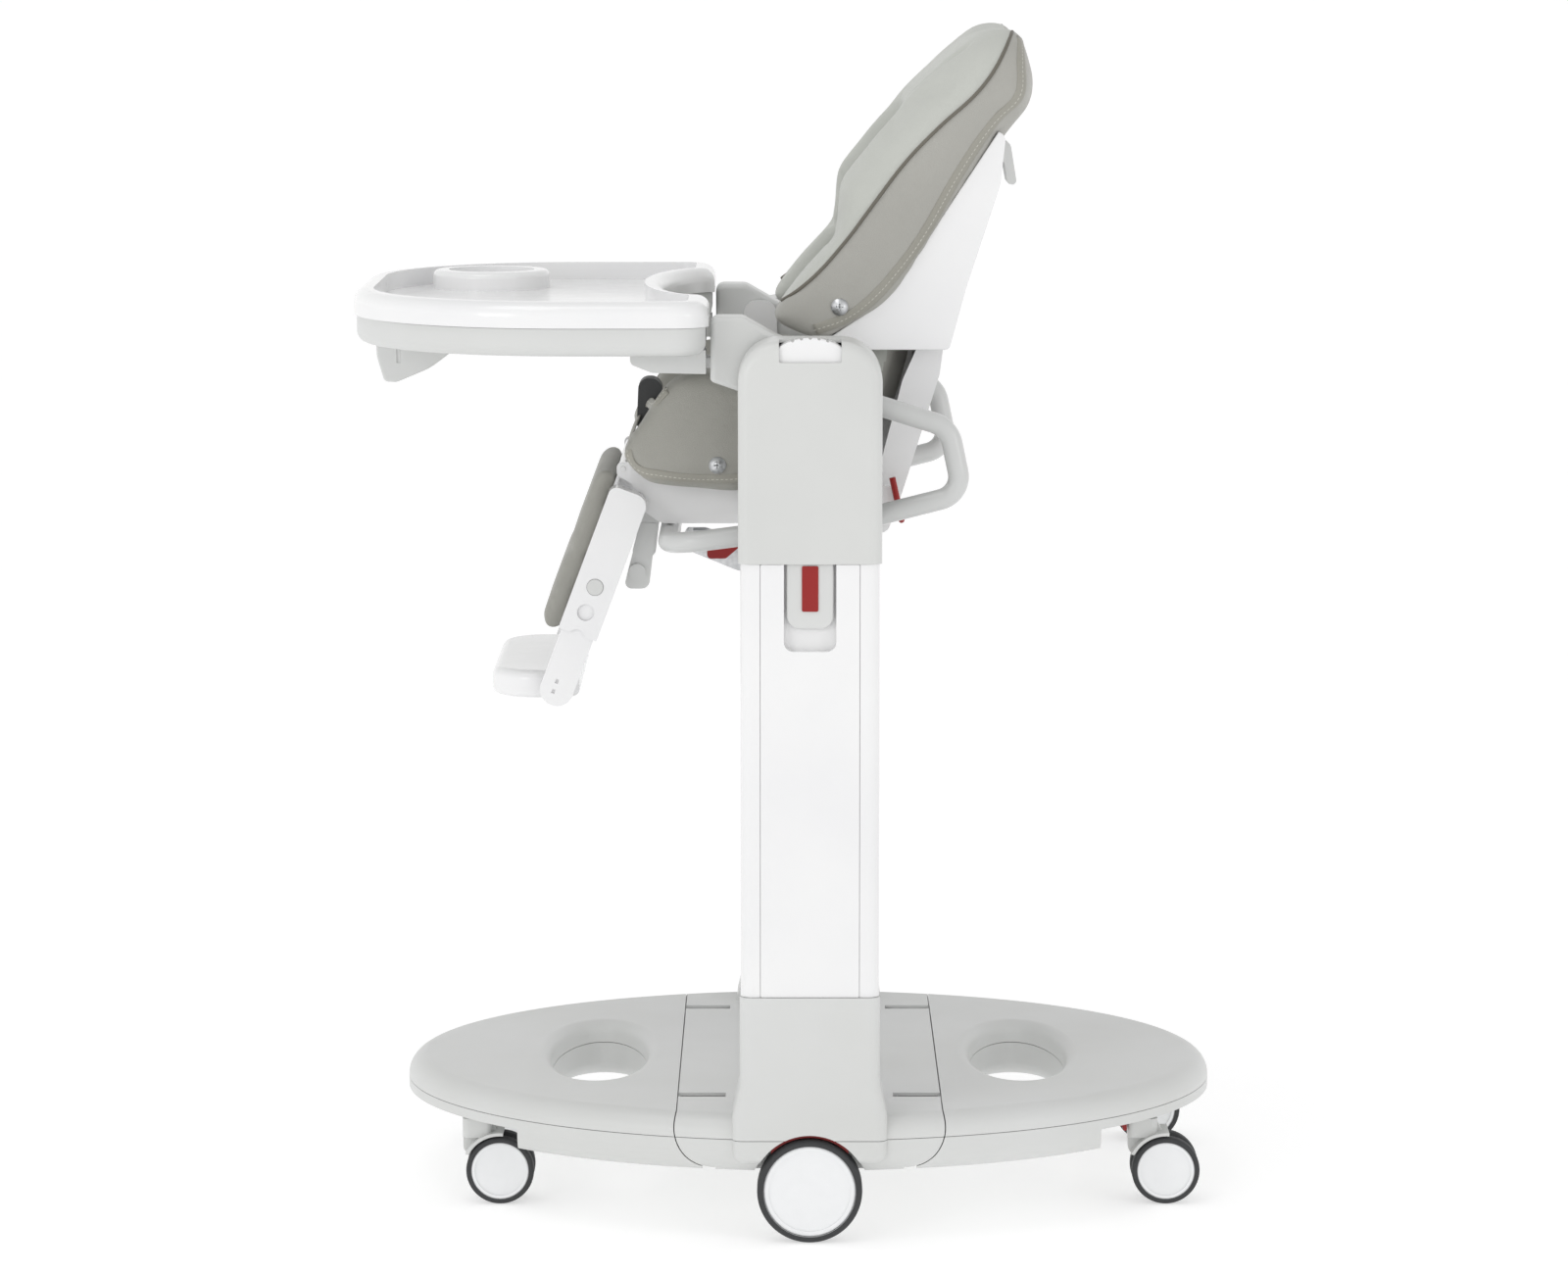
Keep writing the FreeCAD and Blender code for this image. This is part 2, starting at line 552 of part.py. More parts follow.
def column():
    """One column: outer profile, guide channel for the seat slide, spigots at both ends."""
    main = plate(frame_of(COLUMN_IN, COLUMN_OUT, -COLUMN_HALF, COLUMN_HALF, COLUMN_CORNER), "Z",
                 TOWER_TOP + 0.4, HEAD_LOW - 0.4)
    inner = plate(frame_of(COLUMN_IN + COLUMN_WALL, COLUMN_OUT - COLUMN_WALL, -COLUMN_HALF + COLUMN_WALL,
                           COLUMN_HALF - COLUMN_WALL, COLUMN_CORNER - COLUMN_WALL), "Z", 0.0, 900.0)
    foot = plate(frame_of(SPIGOT_IN, SPIGOT_OUT, -SPIGOT_HALF, SPIGOT_HALF, 6.0), "Z", BEAM_TOP,
                 TOWER_TOP + 5.0)
    foot = foot.cut(plate(frame_of(SPIGOT_IN + 3.0, SPIGOT_OUT - 3.0, -SPIGOT_HALF + 3.0,
                                   SPIGOT_HALF - 3.0, 3.0),
                          "Z", 0.0, 300.0))
    step = plate(frame_of(COLUMN_IN + 2.0, COLUMN_OUT - 2.0, -COLUMN_HALF + 2.0, COLUMN_HALF - 2.0, 8.0),
                 "Z",
                 TOWER_TOP + 0.4, TOWER_TOP + 5.0)
    step = step.cut(plate(frame_of(SPIGOT_IN + 3.0, SPIGOT_OUT - 3.0, -SPIGOT_HALF + 3.0,
                                   SPIGOT_HALF - 3.0, 3.0),
                          "Z", 0.0, 300.0))
    guide = plate(frame_of(COLUMN_IN + 1.0, GUIDE_OUT + 3.0, -GUIDE_HALF - 3.0, GUIDE_HALF + 3.0, 4.0), "Z",
                  TOWER_TOP + 3.0, GUIDE_TOP)
    inset = WALL + FIT
    half = HEAD_HALF - inset
    under_head = [(-half, 0.0), (half, 0.0), (half, HEAD_TOP - inset, HEAD_CORNER - inset)]
    under_head += [(-half, HEAD_TOP - inset, HEAD_CORNER - inset)]
    guide = guide.common(plate(under_head, "X", COLUMN_IN, COLUMN_OUT))
    channel = plate(frame_of(COLUMN_IN + COLUMN_WALL, GUIDE_OUT, -GUIDE_HALF, GUIDE_HALF, 1.5), "Z", 0.0,
                    900.0)
    shell = main.cut(inner)
    body = joined([shell, foot, step, guide]).cut(channel)
    body = body.cut(block((COLUMN_IN - 5.0, COLUMN_IN + COLUMN_WALL + 1.0), (-SLOT_HALF, SLOT_HALF),
                          (300.0, 900.0)))
    recess = block((COLUMN_OUT - PANEL_THICK, COLUMN_OUT + 5.0), (-PANEL_HALF - 0.5, PANEL_HALF + 0.5),
                   (200.0, HEAD_LOW))
    backing = block((COLUMN_OUT - COLUMN_WALL - 2.5, COLUMN_OUT - PANEL_THICK),
                    (-PANEL_HALF - 3.0, PANEL_HALF + 3.0),
                    (TOWER_TOP + 3.0, HEAD_LOW - 0.4))
    body = joined([body, backing]).cut(recess)
    pocket = block((GRIP_FLOOR - 2.0, COLUMN_OUT), (-GRIP_HALF - 2.5, GRIP_HALF + 2.5),
                   (GRIP_LOW - 3.0, HEAD_LOW + 10.0))
    pocket = pocket.cut(block((COLUMN_OUT - PANEL_THICK, 310.0), (-60, 60), (0, HEAD_LOW)))
    under_cover = block((HEAD_OUT - WALL - FIT, COLUMN_OUT + 5.0), (-HEAD_HALF, HEAD_HALF), (HEAD_LOW - 0.4, HEAD_TOP))
    pocket = pocket.cut(under_cover)
    hole = plate(frame_of(-GRIP_HALF, GRIP_HALF, GRIP_LOW, HEAD_LOW + 40.0, 9.0), "X", GRIP_FLOOR,
                 COLUMN_OUT + 5.0)
    body = joined([body, pocket]).cut(hole)
    trunnion = rod(2.7, V(294.5, -GRIP_HALF - 1.6, TONGUE_HINGE_Z),
                   V(294.5, GRIP_HALF + 1.6, TONGUE_HINGE_Z))
    body = body.cut(trunnion)
    stub = rod(DIAL_BORE - 0.3, V(GUIDE_OUT + 2.0, 0, DIAL_Z), V(DIAL_OUT - 4.0, 0, DIAL_Z))
    return joined([body, stub])


def column_panel():
    """The long centre cover of one column, cut away round the release tongue."""
    face = plate(frame_of(-PANEL_HALF, PANEL_HALF, TOWER_TOP + 0.5, HEAD_LOW - 0.5, 1.0), "X",
                 COLUMN_OUT - PANEL_THICK, COLUMN_OUT + 0.4)
    hole = plate(frame_of(-GRIP_HALF, GRIP_HALF, GRIP_LOW, HEAD_LOW + 40.0, 9.0), "X", GRIP_FLOOR,
                 COLUMN_OUT + 5.0)
    return face.cut(hole)


def height_rack():
    """The steel strip of notches that sets the seat height."""
    strip = block((GUIDE_OUT - 1.8, GUIDE_OUT), (-14.0, 14.0),
                  (CARRIAGE_LOW - SLIDE_TRAVEL - 20.0, GUIDE_TOP - 2.0))
    count = int(SLIDE_TRAVEL / HEIGHT_STEP) + 1
    for i in range(count):
        z = SWING_Z - i * HEIGHT_STEP
        strip = strip.cut(block((GUIDE_OUT - 5.0, GUIDE_OUT + 5.0), (-8.0, 8.0), (z - 4.0, z + 4.0)))
    return strip


def release_tongue():
    """The finger tongue that frees the height lock, hung from two small trunnions."""
    corners = [(-TONGUE_HALF, TONGUE_LOW, 12.0), (TONGUE_HALF, TONGUE_LOW, 12.0)]
    corners += [(TONGUE_HALF, TONGUE_HINGE_Z + 3.0, 1.0), (-TONGUE_HALF, TONGUE_HINGE_Z + 3.0, 1.0)]
    tongue = plate(corners, "X", TONGUE_IN, TONGUE_OUT)
    tongue = softened(tongue, 1.5,
                      lambda b: b.XLength < 0.01 and b.XMin > TONGUE_OUT - 0.1 and b.ZMax < TONGUE_HINGE_Z)
    pin = rod(2.5, V(294.5, -GRIP_HALF - 1.2, TONGUE_HINGE_Z), V(294.5, GRIP_HALF + 1.2, TONGUE_HINGE_Z))
    return joined([tongue, pin])


def release_mark():
    """The red mark set on the face of the release tongue."""
    return plate(frame_of(-7.5, 7.5, TONGUE_LOW + 16.0, HEAD_LOW - 2.0, 1.5), "X", TONGUE_OUT,
                 TONGUE_OUT + 1.2)


def head_cover():
    """The rounded cover at the top of one column."""
    def body(inset):
        half = HEAD_HALF - inset
        low = HEAD_LOW - (1.0 if inset else 0.0)
        corners = [(-half, low), (half, low), (half, HEAD_TOP - inset, HEAD_CORNER - inset)]
        corners += [(-half, HEAD_TOP - inset, HEAD_CORNER - inset)]
        shape = plate(corners, "X", HEAD_IN + inset, HEAD_OUT - inset)
        edge = 10.0 - inset
        return softened(shape, edge,
                        lambda b: b.XLength < 0.01 and b.XMin > HEAD_OUT - 8.0 and b.ZMax > low + 1.0)
    cover = body(0.0).cut(body(WALL))
    cover = cover.cut(block((HEAD_IN - 5.0, HEAD_IN + 10.0), (-SLOT_HALF, SLOT_HALF),
                            (HEAD_LOW - 5.0, 828.0)))
    window = plate(frame_of(-DIAL_WINDOW_HALF, DIAL_WINDOW_HALF, DIAL_WINDOW_LOW, HEAD_TOP + 40.0, 2.0),
                   "X",
                   DIAL_IN - 1.0, HEAD_OUT + 5.0)
    return cover.cut(window)


def swing_dial():
    """The ribbed thumb dial on top of a head that locks the swing."""
    dial = rod(DIAL_RADIUS, V(DIAL_IN, 0, DIAL_Z), V(DIAL_OUT, 0, DIAL_Z))
    dial = softened(dial, 2.0, lambda b: b.XLength < 0.01)
    dial = dial.cut(rod(DIAL_BORE, V(DIAL_IN - 1, 0, DIAL_Z), V(DIAL_OUT - 3.0, 0, DIAL_Z)))
    dial = dial.common(block((0, 400), (-60, 60), (DIAL_Z - 16.0, 900)))
    for i in range(-2, 3):
        angle = math.radians(90.0 + 9.0 * i)
        y = DIAL_RADIUS * math.cos(angle)
        z = DIAL_Z + DIAL_RADIUS * math.sin(angle)
        dial = dial.cut(rod(1.6, V(DIAL_IN - 1, y, z), V(DIAL_OUT + 1, y, z)))
    return dial


# Seat carrier

def carriage():
    """The block that slides in one column, with the pivot pin that the seat swings on."""
    slide = block((COLUMN_IN + COLUMN_WALL + 0.6, GUIDE_OUT - 2.4), (-GUIDE_HALF + 0.5, GUIDE_HALF - 0.5),
                  (CARRIAGE_LOW, CARRIAGE_TOP))
    arm = block((ARM_OUT + 0.8, COLUMN_IN + COLUMN_WALL + 1.0), (-SLOT_HALF + 1.0, SLOT_HALF - 1.0),
                (SWING_Z - 20.0, SWING_Z + 20.0))
    pin = rod(SWING_PIN, V(ARM_OUT - 26.0, 0, SWING_Z), V(ARM_OUT + 2.0, 0, SWING_Z))
    return joined([slide, arm, pin])


def armrest():
    """One armrest: boss for the seat, prong for the tray, socket for the tube frame."""
    corners = [(-92.0, 798.0, 5.0), (-92.0, 858.0, 8.0), (-62.0, 858.0, 10.0), (-34.0, 842.0, 12.0)]
    corners += [(14.0, 820.0, 10.0), (56.0, 796.0, 8.0), (50.0, 764.0, 8.0), (0.0, 778.0, 20.0),
                (-60.0, 787.0, 12.0)]
    body = plate(corners, "X", ARM_IN, ARM_OUT)
    body = softened(body, 5.0, lambda b: b.XLength < 0.01 and b.ZMax > 790.0 and b.YMax < -30.0)
    prong = plate(frame_of(PRONG_IN, PRONG_OUT, PRONG_LOW, PRONG_TOP, 2.5), "Y", PRONG_END, -85.0)
    body = joined([body, prong])
    body = body.cut(rod(SWING_PIN + 0.15, V(ARM_OUT - 26.5, 0, SWING_Z), V(ARM_OUT + 1, 0, SWING_Z)))
    body = body.cut(rod(TILT_BOSS + 0.15, V(ARM_IN - 1, TILT_Y, TILT_Z), V(ARM_IN + 14.0, TILT_Y, TILT_Z)))
    return body.cut(tube_frame_solid(0.0))


def tube_path(points):
    """A path of straight runs joined by arcs, each point given with its bend radius."""
    edges = []
    previous = points[0][0]
    for i in range(1, len(points) - 1):
        here, radius = points[i]
        back = (points[i - 1][0] - here).normalize()
        ahead = (points[i + 1][0] - here).normalize()
        half = back.getAngle(ahead) / 2.0
        reach = radius / math.tan(half)
        first = here + back * reach
        last = here + ahead * reach
        middle = here + (back + ahead).normalize() * (radius / math.sin(half) - radius)
        edges.append(Part.makeLine(previous, first))
        edges.append(Part.Arc(first, middle, last).toShape())
        previous = last
    edges.append(Part.makeLine(previous, points[-1][0]))
    return Part.Wire(edges)


def swept(points, radius):
    """A round bar along a bent path."""
    path = tube_path(points)
    start = points[0][0]
    direction = points[1][0] - start
    ring = Part.Wire(Part.Circle(start, direction, radius).toShape())
    return path.makePipeShell([ring], True, True)


def tube_frame_solid(wall):
    """The bent tube that loops behind both columns and crosses under the seat."""
    x = FRAME_X
    half = [(V(x, 24.0, 787.0), 0.0), (V(x, 129.0, 754.0), 26.0), (V(x, 142.0, 692.0), 22.0)]
    half += [(V(x, 40.0, 666.0), 120.0), (V(x, -132.0, FRAME_CROSS_Z), 34.0)]
    other = [(V(-p.x, p.y, p.z), r) for p, r in reversed(half)]
    return swept(half + other, FRAME_TUBE - wall)


def tube_frame():
    """The same tube with its bore open at both ends."""
    return tube_frame_solid(0.0).cut(tube_frame_solid(1.6))


def seat_rail():
    """The channel under the seat that the tilt lock runs along."""
    top = FRAME_CROSS_Z - FRAME_TUBE - 0.3
    corners = [(-126.0, 619.0, 2.0), (-118.0, top, 4.0), (-100.0, top, 8.0), (10.0, 596.0, 14.0)]
    corners += [(64.0, 590.0, 4.0), (64.0, 574.0, 4.0), (6.0, 578.0, 14.0), (-70.0, 596.0, 20.0)]
    rail = plate(corners, "X", -17.0, 17.0)
    return rail.cut(block((-12.0, 12.0), (-112.0, 54.0), (590.0, 660.0)))


def tilt_lever():
    """The red squeeze lever under the seat that frees the tilt."""
    corners = [(-98.0, 610.0, 4.0), (-98.0, 628.0, 4.0), (-66.0, 628.0, 2.5), (-66.0, 622.0, 2.0), (-80.0, 610.0, 4.0)]
    return plate(corners, "X", 18.0, 40.0)


# Tray

def tray_plan(inset, low, high):
    """The D-shaped tray outline with a hollow rear edge, as a solid."""
    half = TRAY_HALF - inset
    front = -TRAY_REACH + inset
    rear = TRAY_REAR - inset
    corners = [(-half, rear, 34.0 - inset), (-half, front, 205.0 - inset), (half, front, 205.0 - inset),
               (half, rear, 34.0 - inset)]
    board = plate(corners, "Z", low, high)
    notch = oval(TRAY_NOTCH_DEEP + inset, TRAY_NOTCH_HALF + inset, low - 1.0, high + 1.0, TRAY_REAR)
    return board.cut(notch)


def flat_rims(shape, z, least=8.0):
    """The edges that lie flat at one height."""
    return [e for e in shape.Edges if abs(e.BoundBox.ZMin - z) < 0.01 and e.BoundBox.ZLength < 0.01 and e.Length > least]


def tray_base():
    """The gray lower moulding of the tray, with guides for the armrest prongs."""
    board = tray_plan(3.0, TRAY_LOW, TRAY_PART_LINE - 0.3)
    board = board.makeFillet(10.0, flat_rims(board, TRAY_LOW))
    hollow = tray_plan(6.0, TRAY_LOW + 4.0, TRAY_PART_LINE + 5.0)
    board = board.cut(hollow)
    pieces = [board]
    for side in (-1.0, 1.0):
        limits = sorted((side * (PRONG_IN - 5.0), side * (PRONG_OUT + 5.0)))
        low = PRONG_LOW - 4.0
        slope = [(-166.0, TRAY_LOW + 2.0), (-166.0, low + 8.0, 6.0), (-146.0, low, 10.0),
                 (-96.0, low - 1.0), (-96.0, TRAY_LOW + 2.0)]
        guide = plate(slope, "X", *limits)
        inner = sorted((side * (PRONG_IN - FIT), side * (PRONG_OUT + FIT)))
        tunnel = block(inner, (PRONG_END - 3.0, -90.0), (PRONG_LOW - FIT, PRONG_TOP + FIT))
        pieces.append(guide.cut(tunnel))
    mount = plate(frame_of(-20.0, 20.0, HANDLE_Y - 30.0, HANDLE_Y + 40.0, 4.0), "Z", TRAY_LOW - 4.0,
                  TRAY_LOW + 2.0)
    pieces.append(mount)
    return joined(pieces)


def tray_top():
    """The white lift-off tray top with its rim, raised cup ring and sunk floor."""
    board = tray_plan(0.0, TRAY_PART_LINE + 0.3, TRAY_RIM)
    board = board.makeFillet(13.0, flat_rims(board, TRAY_RIM))
    well = tray_plan(19.0, TRAY_FLOOR, TRAY_RIM + 5.0)
    ring = rod(CUP_RING, V(CUP_X, CUP_Y, TRAY_FLOOR - 3.0), V(CUP_X, CUP_Y, TRAY_RIM + 1.0))
    ring = softened(ring, 6.0, lambda b: b.ZMin > TRAY_RIM)
    board = board.cut(well)
    board = joined([board, ring])
    cup = rod(CUP_BORE, V(CUP_X, CUP_Y, TRAY_PART_LINE + 3.0), V(CUP_X, CUP_Y, TRAY_RIM + 10.0))
    return board.cut(cup)


def tray_handle():
    """The squeeze fin under the front of the tray that frees it from the armrests."""
    y = HANDLE_Y
    top = TRAY_LOW - 4.3
    corners = [(y - 28.0, top, 2.0), (y - 27.0, 804.0, 30.0), (y - 20.0, 780.0, 5.0),
               (y - 8.0, 779.5, 12.0)]
    corners += [(y + 24.0, 793.0, 60.0), (y + 44.0, 808.0, 3.0), (y + 46.0, top, 1.0)]
    fin = plate(corners, "X", -30.0, 30.0)
    fin = softened(fin, 2.0, lambda b: b.XLength < 0.01 and b.ZMax < top - 0.5)
    for side in (-1.0, 1.0):
        groove = rod(2.2, V(side * 30.6, y - 6.0, 798.0), V(side * 30.6, y - 6.0, 815.0))
        fin = fin.cut(groove)
    return fin


# Seat

def seat_shell():
    """The bucket under the cushion, with ears that hang it from the armrests."""
    corners = [(-170.0, 712.0, 4.0), (-164.0, 672.0, 12.0), (-140.0, SHELL_LOW, 16.0),
               (SHELL_REAR, SHELL_LOW, 8.0)]
    corners += [(SHELL_REAR, 700.0, 4.0), (-60.0, 700.0, 30.0), (-150.0, 716.0, 10.0)]
    bucket = plate(corners, "X", -SHELL_HALF, SHELL_HALF)
    hollow = [(-166.0, 760.0), (-160.0, 676.0, 9.0), (-138.0, SHELL_LOW + 4.0, 13.0),
              (SHELL_REAR - 4.0, SHELL_LOW + 4.0, 5.0)]
    hollow += [(SHELL_REAR - 4.0, 760.0)]
    bucket = bucket.cut(plate(hollow, "X", -SHELL_HALF + 4.0, SHELL_HALF - 4.0))
    pieces = [bucket.cut(rod(RECLINE_PIN + 0.15, V(-SHELL_HALF - 1.0, RECLINE_Y, RECLINE_Z),
                             V(SHELL_HALF + 1.0, RECLINE_Y, RECLINE_Z)))]
    ear_in = SEAT_WING_OUT + 1.5
    ear_out = ARM_IN - 1.0
    for side in (-1.0, 1.0):
        limits = sorted((side * ear_in, side * ear_out))
        ear = plate([(-64.0, 664.0, 4.0), (-64.0, 842.0, 12.0), (-32.0, 842.0, 12.0), (-24.0, 664.0, 4.0)],
                    "X", *limits)
        foot = block(sorted((side * (SHELL_HALF - 2.0), side * ear_out)), (-64.0, -24.0), (664.0, 672.0))
        pin = rod(TILT_BOSS, V(side * ear_in, TILT_Y, TILT_Z), V(side * (ARM_IN + 12.0), TILT_Y, TILT_Z))
        pieces += [ear, foot, pin]
    for side in (-1.0, 1.0):
        limits = sorted((side * (LEG_BARREL + FIT), side * (LEG_BARREL + 6.5)))
        lug = plate([(-164.0, 690.0), (LEG_Y - 6.0, LEG_Z - 6.0, 5.0), (LEG_Y - 6.0, LEG_Z + 6.0, 5.0),
                     (-164.0, 712.0)], "X", *limits)
        pieces.append(lug)
    whole = joined(pieces)
    return whole.cut(rod(2.65, V(-LEG_BARREL - 9.0, LEG_Y, LEG_Z), V(LEG_BARREL + 9.0, LEG_Y, LEG_Z)))


def legrest_ratchet():
    """The two notched plates under the seat front that hold the legrest's angle."""
    side = plate([(-176.0, 592.0, 6.0), (-152.0, 592.0, 8.0), (-144.5, SHELL_LOW - 0.5),
                  (-160.0, SHELL_LOW - 0.5)], "X",
                 SHELL_HALF - 14.0, SHELL_HALF - 6.0)
    side = side.fuse(rod(8.0, V(SHELL_HALF - 8.0, -163.0, 608.0), V(SHELL_HALF - 3.0, -163.0, 608.0)))
    return pair(side.removeSplitter())


def seat_cushion():
    """The plain shape of the padded seat with its two side wings."""
    pad = plate([(-174.0, 718.0, 8.0), (-174.0, SEAT_TOP + 2.0, 9.0), (-150.0, SEAT_TOP, 12.0),
                 (30.0, 716.0, 6.0),
                 (30.0, 704.0, 4.0), (-60.0, 703.0, 20.0), (-152.0, 718.5,
                                                            8.0)], "X", -SEAT_WING_IN, SEAT_WING_IN)
    wing = [(-178.0, 728.0, 10.0), (-127.0, 803.0, 46.0), (-20.0, 812.0, 20.0), (40.0, 790.0, 20.0),
            (46.0, 716.0, 18.0),
            (-66.0, 693.0, 60.0), (-156.0, 700.0, 22.0)]
    pieces = [pad]
    for side in (-1.0, 1.0):
        limits = sorted((side * SEAT_WING_IN, side * SEAT_WING_OUT))
        shape = plate(wing, "X", *limits)
        clear = block(sorted((side * (SEAT_WING_IN - 1.0), side * (SHELL_HALF + 1.0))), (-200.0, 60.0),
                      (600.0, 720.0))
        pieces.append(shape.cut(clear))
    return joined(pieces)


def crotch_post():
    """The upright post that keeps the child from sliding out."""
    post = plate([(-166.0, SEAT_TOP + 0.5, 3.0), (-140.0, SEAT_TOP + 0.5, 3.0), (-142.0, 782.0, 11.0),
                  (-164.0, 782.0, 10.0)],
                 "X", -16.0, 16.0)
    return post.cut(seat_cushion())


def lap_harness():
    """The lap straps and buckle of the seat harness."""
    z = SEAT_TOP - 8.0
    pieces = [plate(frame_of(-24.0, 24.0, -98.0, -56.0, 10.0), "Z", z + 2.0, z + 14.0)]
    for side in (-1.0, 1.0):
        limits = sorted((side * 20.0, side * (SEAT_WING_IN - 1.0)))
        pieces.append(block(limits, (-90.0, -66.0), (z + 5.0, z + 7.0)))
    return joined(pieces).cut(seat_cushion())


def cover_screws(points, x):
    """Cross-head screws with washers on both sides of the chair."""
    screws = []
    for y, z in points:
        for side in (-1.0, 1.0):
            start = V(side * x, y, z)
            washer = rod(7.5, start, start + V(side * 1.2, 0, 0))
            head = softened(rod(4.6, start, start + V(side * 3.4, 0, 0)), 1.2, lambda b: b.XLength < 0.01)
            screws.append(joined([washer, head]))
    return Part.makeCompound(screws)


# Backrest

def back_side():
    """The side outline of the padded backrest."""
    return [(-44.0, 853.0, 7.0), (-10.0, 897.0, 60.0), (26.0, 932.0, 20.0), (30.0, 975.0, 40.0),
            (92.0, 1047.0, 90.0),
            (136.0, 1090.0, 60.0), (178.0, 1125.0, 12.0), (206.0, 1122.0, 10.0), (206.0, 1058.0, 18.0),
            (184.0, 1034.0, 30.0), (138.0, 966.0, 60.0), (72.0, 866.0, 60.0), (8.0, 829.0, 12.0)]


def backrest_cushion():
    """The plain shape of the padded backrest: a centre pad between two bolsters."""
    body = plate(back_side(), "X", -BACK_HALF - 5.0, BACK_HALF + 5.0)
    valley = [(-60.0, 780.0), (-60.0, 1020.0), (60.0, 1052.0, 40.0), (112.0, 1066.0, 30.0),
              (96.0, 1000.0, 60.0),
              (72.0, 900.0, 60.0), (50.0, 780.0)]
    body = body.cut(plate(valley, "X", -BACK_VALLEY, BACK_VALLEY))
    pad = plate([(36.0, 724.0, 8.0), (72.0, 900.0, 60.0), (98.0, 1006.0, 7.0), (121.0, 1010.0, 7.0),
                 (100.0, 860.0, 60.0),
                 (76.0, 770.0, 40.0), (60.0, 724.0, 8.0)], "X", -BACK_VALLEY, BACK_VALLEY)
    corner = 62.0
    crop = plate([(-BACK_HALF, 700.0), (BACK_HALF, 700.0), (BACK_HALF, 1127.0, corner),
                  (-BACK_HALF, 1127.0, corner)],
                 "Y", -100.0, 300.0)
    return joined([body, pad]).common(crop).cut(backrest_shell())


def backrest_shell():
    """The white shell behind the cushion: a wide hood and a narrower spine down to the hinge."""
    line = [(12.0, 828.0), (57.0, 821.0, 4.0), (131.0, 821.0, 5.0), (147.0, 880.0, 120.0),
            (178.0, 975.0, 60.0),
            (183.0, 1022.0, 8.0), (176.0, 1024.6)]
    front = [(139.0, 968.6, 60.0), (73.0, 868.8, 60.0)]
    hood = plate(line + front, "X", -BACK_HALF + 14.0, BACK_HALF - 14.0)
    inner_line = [(30.0, 824.5), (128.0, 824.5, 4.0), (144.0, 882.0, 120.0), (175.0, 977.0, 60.0),
                  (179.5, 1018.0, 4.0),
                  (170.0, 1060.0), (0.0, 900.0)]
    hood = hood.cut(plate(inner_line, "X", -BACK_HALF + 17.5, BACK_HALF - 17.5))
    hood = softened(hood, 1.2, lambda b: b.XLength < 0.01 and b.XMax > BACK_HALF - 15.0 and b.YMin > 120.0)
    pad_space = block((-BACK_VALLEY - FIT, BACK_VALLEY + FIT), (0.0, 93.0), (810.0, 840.0))
    hood = hood.cut(pad_space)
    spine = plate([(104.0, 826.0), (127.0, 826.0), (123.0, 795.0, 40.0), (88.0, 683.0, 30.0),
                   (74.0, 645.0, 8.0),
                   (62.0, 645.0, 4.0), (62.0, 690.0, 20.0), (88.0, 790.0, 30.0)], "X", -120.0, 120.0)
    spine = spine.cut(plate([(96.0, 900.0), (123.5, 900.0), (119.5, 796.0, 36.0), (84.5, 684.0, 26.0),
                             (73.0, 655.0, 4.0),
                             (50.0, 655.0), (50.0, 690.0)], "X", -116.0, 116.0))
    pieces = [hood, spine]
    for i in range(5):
        x = -72.0 + 36.0 * i
        rib = plate([(108.0, 828.0), (122.0, 828.0), (119.5, 796.0, 36.0), (84.5, 684.0, 26.0),
                     (76.0, 664.0), (70.0, 668.0),
                     (80.0, 700.0)], "X", x - 1.5, x + 1.5)
        pieces.append(rib)
    for side in (-1.0, 1.0):
        limits = sorted((side * (SHELL_HALF + 1.5), side * (SHELL_HALF + 7.0)))
        arm = plate([(RECLINE_Y - 12.0, RECLINE_Z - 12.0, 10.0), (RECLINE_Y - 12.0, RECLINE_Z + 12.0, 10.0),
                     (66.0, 692.0, 6.0), (82.0, 690.0), (74.0, 646.0, 8.0), (40.0, 650.0,
                                                                             20.0)], "X", *limits)
        bridge = block(sorted((side * 116.0, side * (SHELL_HALF + 7.0))), (62.5, 74.0), (650.0, 684.0))
        pin = rod(RECLINE_PIN, V(side * (SHELL_HALF + 6.0), RECLINE_Y, RECLINE_Z),
                  V(side * (SHELL_HALF - 5.0), RECLINE_Y, RECLINE_Z))
        pieces += [arm, bridge, pin]
    return joined(pieces)


def recline_lever():
    """The red wire bail at the back that frees the recline."""
    x = SHELL_HALF + 14.0
    points = [(V(-x, 78.0, 700.0), 0.0), (V(-x, 87.0, 659.0), 8.0), (V(x, 87.0, 659.0), 8.0),
              (V(x, 78.0, 700.0), 0.0)]
    return swept(points, 3.0)


def rear_hook():
    """The gray hook high on the back that a folded tray or a bag hangs on."""
    hook = plate([(180.0, 1010.0, 3.0), (192.0, 1010.0, 6.0), (199.0, 968.0, 4.0), (190.0, 970.0, 2.0),
                  (186.0, 992.0, 6.0),
                  (180.4, 994.0)], "X", -34.0, 34.0)
    return hook.cut(backrest_shell())


def shoulder_harness():
    """Two shoulder straps that lie down the centre of the backrest."""
    straps = []
    for x in (-45.0, 45.0):
        strap = plate([(39.0, 745.0), (71.0, 902.0, 60.0), (89.0, 975.0), (87.0, 975.0),
                       (69.0, 902.0, 60.0), (37.0, 745.0)],
                      "X", x - 12.5, x + 12.5)
        straps.append(strap)
    return Part.makeCompound(straps)


# Legrest and footrest, built hanging straight down from the legrest hinge, then turned forward

def leg_turned(shape):
    """Swing a hanging shape forward to the legrest's rest angle."""
    return turned(shape, LEG_ANGLE, LEG_Y, LEG_Z)


def strut_centre():
    """How far behind the hinge line the struts' centre line hangs."""
    return LEG_Y + 14.0


